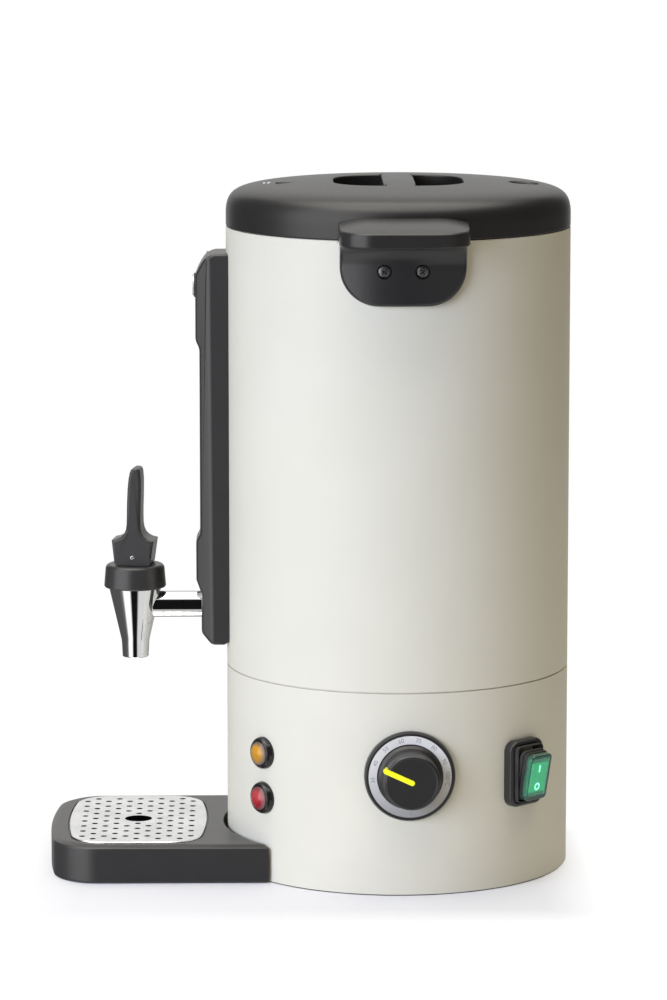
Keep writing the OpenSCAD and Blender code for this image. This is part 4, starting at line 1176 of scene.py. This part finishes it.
class URN_OT_tray(bpy.types.Operator):
    """Make the drip tray and its grille."""

    bl_idname = "urn.tray"
    bl_label = "Drip tray"

    back = 60
    crown = 1.4
    grille = (154, 101, 26)
    row = 8.2
    hole_gap = 15.8
    drain_r = 10

    def outer(self, bm, z):
        """The tray's edges at that height, apart from those inside the casing."""
        return [e for e in bm.edges
                if level_with(e, z) and min(v.co.y for v in e.verts) < -self.back - LEVEL]

    def outline(self, inset=0):
        """The grille's outline, set in by inset."""
        width, length, corner = self.grille
        front = bowed_front(width, length / 2, corner, inset)
        return front + [(-x, -y) for x, y in front]

    def execute(self, context):
        sizes = context.scene.urn_sizes
        rim = sizes.tray_round / MM
        plan = bowed_front(TRAY_W, TRAY_REACH, TRAY_CORNER)
        plan += [(TRAY_W / 2, -self.back), (-TRAY_W / 2, -self.back)]
        brow = TRAY_H - self.crown
        body = slab(plan, 0, brow)
        round_off(body, self.outer(body, brow), rim, 5)
        step_in(body, [f for f in body.faces if level_with(f, brow)], 4, self.crown)
        round_off(body, self.outer(body, 0), 2.2, 4)
        cutters = [
            drum(SHELL_R + 3.2, -5, 40, 240),
            shift(slab(self.outline(-1), TRAY_H - 1.5, 40), y=-GRILLE_AT),
            shift(slab(self.outline(4), 4, 40, edge_low=3), y=-GRILLE_AT),
        ]
        for cutter in cutters:
            body = combined(body, cutter)
        crisp = sharp_edges(body, 60, lambda p: p.z > 20 and p.y < -self.back - 1)
        round_off(body, crisp, 0.4, 2)
        bmesh.ops.recalc_face_normals(body, faces=body.faces[:])
        piece("drip_tray", body, "tray", finish_of("plastic"), ("tray_body",), 30)

        plate = slab(self.outline(), GRILLE_LOW_Z, GRILLE_LOW_Z + 2, edge_high=0.9, rings=4)
        rounds = [circle(self.drain_r, 56)]
        rows = int((self.grille[0] / 2 - 9) // self.row)
        for i in range(-rows, rows + 1):
            for j in range(-3, 4):
                x, y = i * self.row, (j + (i % 2) / 2) * self.hole_gap
                if self.on_plate(x, y):
                    rounds.append(circle(sizes.hole_width / MM / 2, 14, (x, y)))
        holes = [slab(outline, GRILLE_LOW_Z - 3, GRILLE_LOW_Z + 6) for outline in rounds]
        under = slab(self.outline(0.6), GRILLE_LOW_Z - 4, GRILLE_LOW_Z + 1.86)
        plate = combined(combined(plate, under), joined(*holes))
        shift(plate, y=-GRILLE_AT)
        piece("drip_grille", plate, "grille",
              finish_of("grille_steel"), ("tray_grille",), 40)
        return {"FINISHED"}

    def on_plate(self, x, y):
        """Whether a small hole fits there."""
        width, length, corner = self.grille
        edge_x, edge_y, corner = width / 2 - 6, length / 2 - 7, corner - 6
        dx, dy = max(0, abs(x) - edge_x + corner), max(0, abs(y) - edge_y + corner)
        inside = math.hypot(dx, dy) < corner and abs(x) < edge_x and abs(y) < edge_y
        return inside and math.hypot(x, y) > self.drain_r + 3.5


class URN_OT_dial(bpy.types.Operator):
    """Make the thermostat's dial, its figures and the knob."""

    bl_idname = "urn.dial"
    bl_label = "Dial"

    figure_r = 26.6
    # Angles on the dial, in degrees against the clock from its right side.
    first_at = 184.6
    step = 26.8
    pointer_at = 155

    def execute(self, context):
        angle, z = DIAL
        bezel = turned(
            filleted([(9.8, -4), (32.5, -4), (32.5, 1.6, 1), (31.6, 3.7, 0.8), (29.7, 3.95, 0.3),
                      (29.7, 3), (23.6, 3), (23.6, 0.8), (9.8, 0.8)], 5), 144, closed=True)
        sleeve = turned([(3.05, -8), (9.8, -8), (9.8, 0.8), (3.05, 0.8)], 48, closed=True)
        bezel = joined(seated(bezel, angle, z), facing_out(sleeve, angle, z))
        piece("dial_rim", bezel, "casing",
              finish_of("satin_plastic"), ("dial_bezel",), 30)

        ring = turned(
            filleted([(23.6, 3), (29.6, 3), (29.6, 3.8, 0.15), (23.6, 3.8, 0.15)], 3),
            144, closed=True)
        piece("dial_ring", facing_out(ring, angle, z), "casing",
              finish_of("scale"), ("dial_scale_ring",))
        self.figures(context.scene.urn_sizes.figure_size / MM)
        self.knob()
        return {"FINISHED"}

    def figures(self, size):
        """The figures from 30 to 100 round the ring, and the off mark."""
        angle, z = DIAL
        parts = []
        for i, text in enumerate(("30", "40", "50", "60", "70", "80", "90", "100°C")):
            at = self.first_at - self.step * i
            figure = lettering(text, size, 0.06)
            shift(figure, y=self.figure_r)
            parts.append(turn(figure, at - 90, "Z"))
        mark = turned([(0.6, 0), (0.85, 0), (0.85, 0.06), (0.6, 0.06)], 24, closed=True)
        parts.append(shift(mark, x=0.6, y=-self.figure_r))
        marks = shift(joined(*parts), z=3.82)
        piece("dial_figures", facing_out(marks, angle, z), "casing",
              finish_of("grey_print"), even=False)

    def knob(self):
        """The knob with its stepped skirt, and the pointer let into it."""
        angle, z = DIAL
        body = turned(
            filleted([(0, 1.2), (23, 1.2, 0.4), (23, 5.4, 1.4), (20.9, 7.0, 0.8), (20.1, 7.2, 0.5),
                      (19.9, 23.6, 1.5), (18.4, 25, 1.2), (17.2, 24.6, 0.5), (0, 24.6)],
                     5, closed=False), 144)
        piece("knob_body", facing_out(body, angle, z), "knob",
              finish_of("satin_plastic"), ("knob",), 30)
        half = 1.9
        plan = arc((0, 0), half, -90, -270, 10) + arc((20.6, 0), half, 90, -90, 10)
        bar = slab(plan, 23, 25.5, edge_high=0.45)
        drop = block((2.2, 2 * half, 1.0, 5), 17.5, 25.2, edge_high=0.3)
        shift(drop, x=20)
        bar = joined(bar, drop)
        turn(bar, self.pointer_at, "Z")
        piece("pointer_bar", facing_out(bar, angle, z), "knob",
              finish_of("pointer"), ("knob_pointer",), 30)


class URN_OT_lamps(bpy.types.Operator):
    """Make the two lamps."""

    bl_idname = "urn.lamps"
    bl_label = "Lamps"

    def execute(self, context):
        for name, z in LAMPS.items():
            bezel = turned(
                filleted([(6, -4), (11.75, -4), (11.75, 0.9, 2), (11.1, 3.2, 2.6), (9.8, 4.6, 2.2),
                          (8.8, 5.0, 0.3), (8.7, 0), (6, 0)], 6), 72, closed=True)
            bezel = seated(bezel, LAMP_ANGLE, z)
            piece(f"{name}_bezel", bezel, "casing",
                  finish_of("gloss_plastic"), (f"{name}_lamp_housing",), 30)
            dome = turned(
                [(0, 0), (8.65, 0), (8.65, 4.8), (8.2, 5.35), (7.3, 5.95), (6.0, 6.6),
                 (4.2, 7.2), (2.2, 7.58), (0, 7.7)], 72)
            piece(f"{name}_dome", facing_out(dome, LAMP_ANGLE, z), "casing",
                  finish_of(name), (f"{name}_lamp_lens",), 50)
        return {"FINISHED"}


class URN_OT_rocker_switch(bpy.types.Operator):
    """Make the switch with its collar, rocker and clear cover."""

    bl_idname = "urn.rocker_switch"
    bl_label = "Switch"

    opening = (25, 39.2, 2, 5)
    window = (17.8, 28.4, 1, 4)
    face = 9.1

    def execute(self, context):
        angle, z = SWITCH
        bezel = block((34, 48, 7.5, 10), -4, 6.2, edge_high=2.2, rings=5)
        bezel = combined(bezel, block((28.4, 42.4, 4.6, 8), 3.2, 9))
        bezel = combined(bezel, block(self.opening, -30, 8))
        lip = sharp_edges(bezel, 60, lambda p: p.z > 5.5)
        round_off(bezel, lip, 0.5, 3)
        bezel = seated(bezel, angle, z)
        box = block((27, 41, 2, 4), -26, 0)
        box = combined(box, block(self.opening, -24, 8))
        bezel = joined(bezel, facing_out(box, angle, z))
        piece("switch_bezel", bezel, "casing", finish_of("satin_plastic"),
              ("switch_housing",), 34)

        collar = block((28.2, 42.2, 4.5, 8), 3.2, 4.4, edge_high=0.4)
        wall = block((26.8, 40.8, 3.2, 8), 3.2, 9.1, edge_high=0.3)
        collar = combined(combined(collar, wall, "UNION"), block(self.opening, 0, 12))
        piece("switch_bellows", facing_out(collar, angle, z), "casing",
              finish_of("rubber"), ("switch_collar",), 34)

        face = self.face
        rocker = block((17.5, 28, 1, 4), 0, face - 0.6, edge_high=0.3, rings=2)
        base = block((17.4, 22, 1, 4), -9, 0.5)
        pins = turn(drum(1.8, -12.9, 12.9, 32), 90, "Y")
        rocker = combined(combined(rocker, base, "UNION"), pins, "UNION")
        self.rocked(rocker)
        # The rocker's body takes the darker green, as painted shade.
        piece("rocker_body", rocker, "rocker", finish_of("green_edge"),
              ("switch_rocker",), 34)
        panel = self.rocked(
            block((16.2, 22.4, 0.8, 4), face - 0.7, face - 0.05, edge_high=0.2, rings=2))
        piece("rocker_panel", panel, "rocker", finish_of("green"), even=False)

        pin_room = turn(drum(1.85, -13.5, 13.5, 32), 90, "Y")
        skirt = block((23, 36, 4, 8), 0, 2.4, edge_high=0.4)
        skirt = combined(skirt, block((21.2, 34, 3.2, 8), 1, 6), "UNION")
        skirt = combined(
            skirt, block((22.6, 35.6, 3.8, 8), 3.6, 5.5, edge_high=0.4), "UNION")
        skirt = combined(combined(skirt, block(self.window, -1, 9)), pin_room)
        self.rocked(skirt)
        piece("rocker_skirt", skirt, "rocker", finish_of("rubber"))
        cover = block((21.6, 34.2, 3.4, 8), 5.6, 10.7, edge_high=1.1, rings=4)
        cover = combined(cover, block(self.window, 5, face + 0.15))
        self.rocked(cover)
        piece("rocker_cover", cover, "rocker", finish_of("green_cover"),
              ("switch_cover",), 34)

        on = block((1.1, 5.2, 0.3, 3), face - 0.1, face + 0.05)
        shift(on, y=6.6)
        off = turned([(1.6, face - 0.1), (2.5, face - 0.1), (2.5, face + 0.05),
                      (1.6, face + 0.05)], 32, closed=True)
        off.transform(Matrix.Diagonal((1, 1.12, 1, 1)))
        shift(off, y=-7)
        marks = joined(on, off)
        self.rocked(marks)
        piece("rocker_marks", marks, "rocker", finish_of("white_mark"), even=False)
        return {"FINISHED"}

    @staticmethod
    def rocked(bm):
        """Tilts what is drawn facing +Z and puts it on the rocker's pivot."""
        turn(bm, ROCKER_TILT, "X")
        shift(bm, z=ROCKER_OUT)
        return facing_out(bm, *SWITCH)


class URN_OT_cable_gland(bpy.types.Operator):
    """Make the cable gland at the back of the base."""

    bl_idname = "urn.cable_gland"
    bl_label = "Cable gland"

    def execute(self, context):
        angle, z = GLAND
        hexagon = circle(12.5, 6)
        flange = slab(hexagon, 0.2, 6)
        chamfer = turned([(0, -2), (12.6, -2), (12.6, 5), (11, 6.2), (0, 6.2)], 72)
        flange = combined(flange, chamfer, "INTERSECT")
        barrel = turned([(0, -12), (8, -12), (8, 1), (0, 1)], 48)
        cap = turned(
            filleted([(0, 5.5), (10.5, 5.5, 0.3), (10.5, 13.5, 1.5), (7.6, 18, 1.2), (0, 18)],
                     5, closed=False), 72)
        ribs = []
        for i in range(18):
            groove = shift(drum(0.7, 7.4, 20, 10), x=10.9)
            ribs.append(turn(groove, 20 * i, "Z"))
        cap = combined(cap, joined(*ribs))
        gland = combined(combined(flange, barrel, "UNION"), cap, "UNION")
        gland = combined(gland, drum(4.5, 1.9, 30, 48))
        gland = combined(gland, drum(5.5, -20, 2, 48))
        piece("gland_body", facing_out(gland, angle, z), "casing",
              finish_of("plastic"), ("cable_gland",), 30)
        return {"FINISHED"}


class URN_OT_inner_parts(bpy.types.Operator):
    """Give finishes to the parts inside and under the urn."""

    bl_idname = "urn.inner_parts"
    bl_label = "Inner parts"

    finishes = {
        "tank_steel": ("inner_tank",),
        "sheet_steel": ("base_plate", "heat_shield", "lid_inner_plate"),
        "silicone": ("rim_ring", "lid_seal", "tap_seat_cup", "tap_washer", "sight_seals"),
        "rubber": ("foot_ring",),
        "zinc": ("base_screws", "tie_rods", "tap_stem", "thermostat_shaft"),
        "cast_alloy": ("heat_spreader", "heating_element"),
        "nickel": ("sight_upper_fitting", "sight_lower_fitting", "tap_nut"),
        "copper": ("thermostat_bulb",),
        "moulding": ("thermostat_body", "thermal_cutout", "terminal_block"),
        "jacket": ("wiring",),
        "red_button": ("reset_button",),
        "plastic": ("gland_nut",),
        "clear": ("sight_window", "sight_tube"),
    }

    def execute(self, context):
        for label, nodes in self.finishes.items():
            for node in nodes:
                repaint(node, label)
        return {"FINISHED"}


# ---- stage ----


def aimed(item, place, target):
    """Puts a light or the camera somewhere and points it at a target."""
    item.location = place
    item.rotation_euler = (Vector(target) - Vector(place)).to_track_quat("-Z", "Y").to_euler()


class URN_OT_stage(bpy.types.Operator):
    """Set the floor, the lights and the camera."""

    bl_idname = "urn.stage"
    bl_label = "Studio"

    floor_r = 1.3
    # The floor is pale over a box, by its middle and half its size, and fades past it.
    pale_middle = (0.0475, 0, 0)
    pale_half = (0.1175, 0.165, 1)
    fade = 0.04
    key_at = (1.75, -1.45, 0.66)
    key_target = (0, AXIS_Y, 0.25)
    key_size = (1.8, 1.2)
    key_colour = (0.86, 1, 1.40)
    sky_spread = 70
    sky_colour = (1, 0.945, 0.85)
    ambient_colour = (1, 0.84, 0.62)
    camera_at = (3.2938, -0.034, 0.7819)
    camera_target = (0, 0.01815, 0.26665)
    camera_lens = 164.02
    # Brightness of the room that polished pieces mirror, first below and then above
    # the horizon, in fractions of a turn from behind the urn.
    low_room = (
        (0.00, 0.10), (0.28, 0.12), (0.32, 0.25), (0.345, 1.5), (0.425, 1.5), (0.45, 0.01),
        (0.53, 0.01), (0.555, 0.95), (0.65, 0.95), (0.70, 0.72), (1.00, 0.45),
    )
    high_room = (
        (0.00, 0.95), (0.06, 0.95), (0.085, 0.10), (0.265, 0.10), (0.285, 3.0), (0.428, 3.0),
        (0.445, 0.01), (0.53, 0.01), (0.555, 0.12), (0.92, 0.12), (0.945, 0.95), (1.00, 0.95),
    )
    # Its brightness below and overhead, and where the low room gives way to the high
    # one, both from 0 straight down to 1 straight up.
    poles = ((0.0, 0.42), (0.10, 0.8), (0.145, 0.7), (0.172, 0.0), (0.845, 0.0), (0.872, 1.2))
    horizon_span = (0.37, 0.41)

    def floor(self, colour):
        """A pale floor that fades to white, which polished pieces don't mirror."""
        bm = bmesh.new()
        bmesh.ops.create_circle(bm, cap_ends=True, segments=96, radius=self.floor_r)
        mesh = bpy.data.meshes.new("studio_floor")
        bm.to_mesh(mesh)
        bm.free()
        item = bpy.data.objects.new("studio_floor", mesh)
        bpy.context.scene.collection.objects.link(item)
        paper = Finish("urn_floor", Roughness=0.9, Specular_IOR_Level=0.1)
        past = paper.outside(self.pale_middle, self.pale_half)
        far = paper.spread(past, 0, 1, 0, self.fade)
        paper.colour(colour, (0, 0, 0), far)
        paper.set(Emission_Color=(1, 1, 1, 1))
        paper.links.new(far, paper.shader.inputs["Emission Strength"])
        mesh.materials.append(paper.material)
        item.visible_glossy = False

    def surroundings(self, ambient):
        """A white background, a faint warm light, and a room for reflections."""
        world = bpy.data.worlds.new("studio")
        bpy.context.scene.world = world
        world.use_nodes = True
        nodes, links = world.node_tree.nodes, world.node_tree.links
        output = nodes["World Output"]
        ray = nodes.new("ShaderNodeLightPath")

        towards = nodes.new("ShaderNodeSeparateXYZ")
        links.new(nodes.new("ShaderNodeTexCoord").outputs["Generated"], towards.inputs[0])
        around = nodes.new("ShaderNodeMath")
        around.operation = "ARCTAN2"
        links.new(towards.outputs["Y"], around.inputs[0])
        links.new(towards.outputs["X"], around.inputs[1])
        share = nodes.new("ShaderNodeMapRange")
        share.inputs["From Min"].default_value = -math.pi
        share.inputs["From Max"].default_value = math.pi
        links.new(around.outputs[0], share.inputs["Value"])
        level = nodes.new("ShaderNodeMapRange")
        level.inputs["From Min"].default_value = -1
        links.new(towards.outputs["Z"], level.inputs["Value"])
        horizon = nodes.new("ShaderNodeMapRange")
        horizon.inputs["From Min"].default_value = self.horizon_span[0]
        horizon.inputs["From Max"].default_value = self.horizon_span[1]
        links.new(level.outputs["Result"], horizon.inputs["Value"])
        room = nodes.new("ShaderNodeMix")
        links.new(horizon.outputs["Result"], room.inputs["Factor"])
        for side, stops in (("A", self.low_room), ("B", self.high_room)):
            ramp = self.ramp(nodes, stops)
            links.new(share.outputs["Result"], ramp.inputs["Fac"])
            links.new(ramp.outputs["Color"], room.inputs[side])
        height = self.ramp(nodes, self.poles)
        links.new(level.outputs["Result"], height.inputs["Fac"])
        brightest = nodes.new("ShaderNodeMath")
        brightest.operation = "MAXIMUM"
        links.new(room.outputs["Result"], brightest.inputs[0])
        links.new(height.outputs["Color"], brightest.inputs[1])

        faint = nodes["Background"]
        faint.inputs["Color"].default_value = (*self.ambient_colour, 1)
        faint.inputs["Strength"].default_value = ambient
        mirrored = nodes.new("ShaderNodeBackground")
        links.new(brightest.outputs[0], mirrored.inputs["Strength"])
        white = nodes.new("ShaderNodeBackground")
        white.inputs["Color"].default_value = (1, 1, 1, 1)
        shade = faint.outputs[0]
        for kind, background in (("Is Glossy Ray", mirrored), ("Is Camera Ray", white)):
            mix = nodes.new("ShaderNodeMixShader")
            links.new(ray.outputs[kind], mix.inputs[0])
            links.new(shade, mix.inputs[1])
            links.new(background.outputs[0], mix.inputs[2])
            shade = mix.outputs[0]
        links.new(shade, output.inputs["Surface"])

    @staticmethod
    def ramp(nodes, stops):
        """A ramp of grey levels, which may be brighter than white."""
        ramp = nodes.new("ShaderNodeValToRGB")
        marks = ramp.color_ramp.elements
        while len(marks) < len(stops):
            marks.new(0.5)
        for mark, (place, value) in zip(marks, stops):
            mark.position = place
            mark.color = (value, value, value, 1)
        return ramp

    def execute(self, context):
        stage = context.scene.urn_stage
        self.floor(tuple(stage.floor))
        self.surroundings(stage.ambient)
        soft = bpy.data.lights.new("key_light", "AREA")
        soft.shape = "RECTANGLE"
        soft.size, soft.size_y = self.key_size
        soft.energy = stage.key_power
        soft.color = self.key_colour
        key = bpy.data.objects.new("key_light", soft)
        context.scene.collection.objects.link(key)
        aimed(key, self.key_at, self.key_target)
        key.visible_glossy = False
        sky = bpy.data.lights.new("overhead_light", "SUN")
        sky.energy = stage.sky_strength
        sky.angle = math.radians(self.sky_spread)
        sky.color = self.sky_colour
        context.scene.collection.objects.link(bpy.data.objects.new("overhead_light", sky))
        camera = bpy.data.objects.new("camera", bpy.data.cameras.new("camera"))
        context.scene.collection.objects.link(camera)
        camera.data.lens = self.camera_lens
        aimed(camera, self.camera_at, self.camera_target)
        context.scene.camera = camera
        context.scene.view_settings.view_transform = "Standard"
        return {"FINISHED"}


PIECES = (
    URN_OT_casing,
    URN_OT_lid,
    URN_OT_handles,
    URN_OT_sight_column,
    URN_OT_tap,
    URN_OT_lever,
    URN_OT_tray,
    URN_OT_dial,
    URN_OT_lamps,
    URN_OT_rocker_switch,
    URN_OT_cable_gland,
    URN_OT_inner_parts,
    URN_OT_stage,
)
GROUPS = {"urn_sizes": UrnSizes, "urn_colours": UrnColours, "urn_stage": UrnStage}


class URN_PT_panel(bpy.types.Panel):
    """The urn's sizes, colours and pieces."""

    bl_idname = "URN_PT_panel"
    bl_label = "Hot water urn"
    bl_space_type = "VIEW_3D"
    bl_region_type = "UI"
    bl_category = "Urn"

    def draw(self, context):
        for group, kind in GROUPS.items():
            box = self.layout.box()
            for name in kind.__annotations__:
                box.prop(getattr(context.scene, group), name)
        for operator in PIECES:
            self.layout.operator(operator.bl_idname)


def register():
    for kind in (*GROUPS.values(), *PIECES, URN_PT_panel):
        bpy.utils.register_class(kind)
    for group, kind in GROUPS.items():
        setattr(bpy.types.Scene, group, PointerProperty(type=kind))


def unregister():
    for group in GROUPS:
        delattr(bpy.types.Scene, group)
    for kind in reversed((*GROUPS.values(), *PIECES, URN_PT_panel)):
        bpy.utils.unregister_class(kind)


def main():
    """Makes every piece and the stage."""
    register()
    bpy.ops.urn.stage()
    bpy.ops.urn.casing()
    bpy.ops.urn.lid()
    bpy.ops.urn.handles()
    bpy.ops.urn.sight_column()
    bpy.ops.urn.tap()
    bpy.ops.urn.lever()
    bpy.ops.urn.tray()
    bpy.ops.urn.dial()
    bpy.ops.urn.lamps()
    bpy.ops.urn.rocker_switch()
    bpy.ops.urn.cable_gland()
    bpy.ops.urn.inner_parts()


if __name__ == "__main__":
    main()
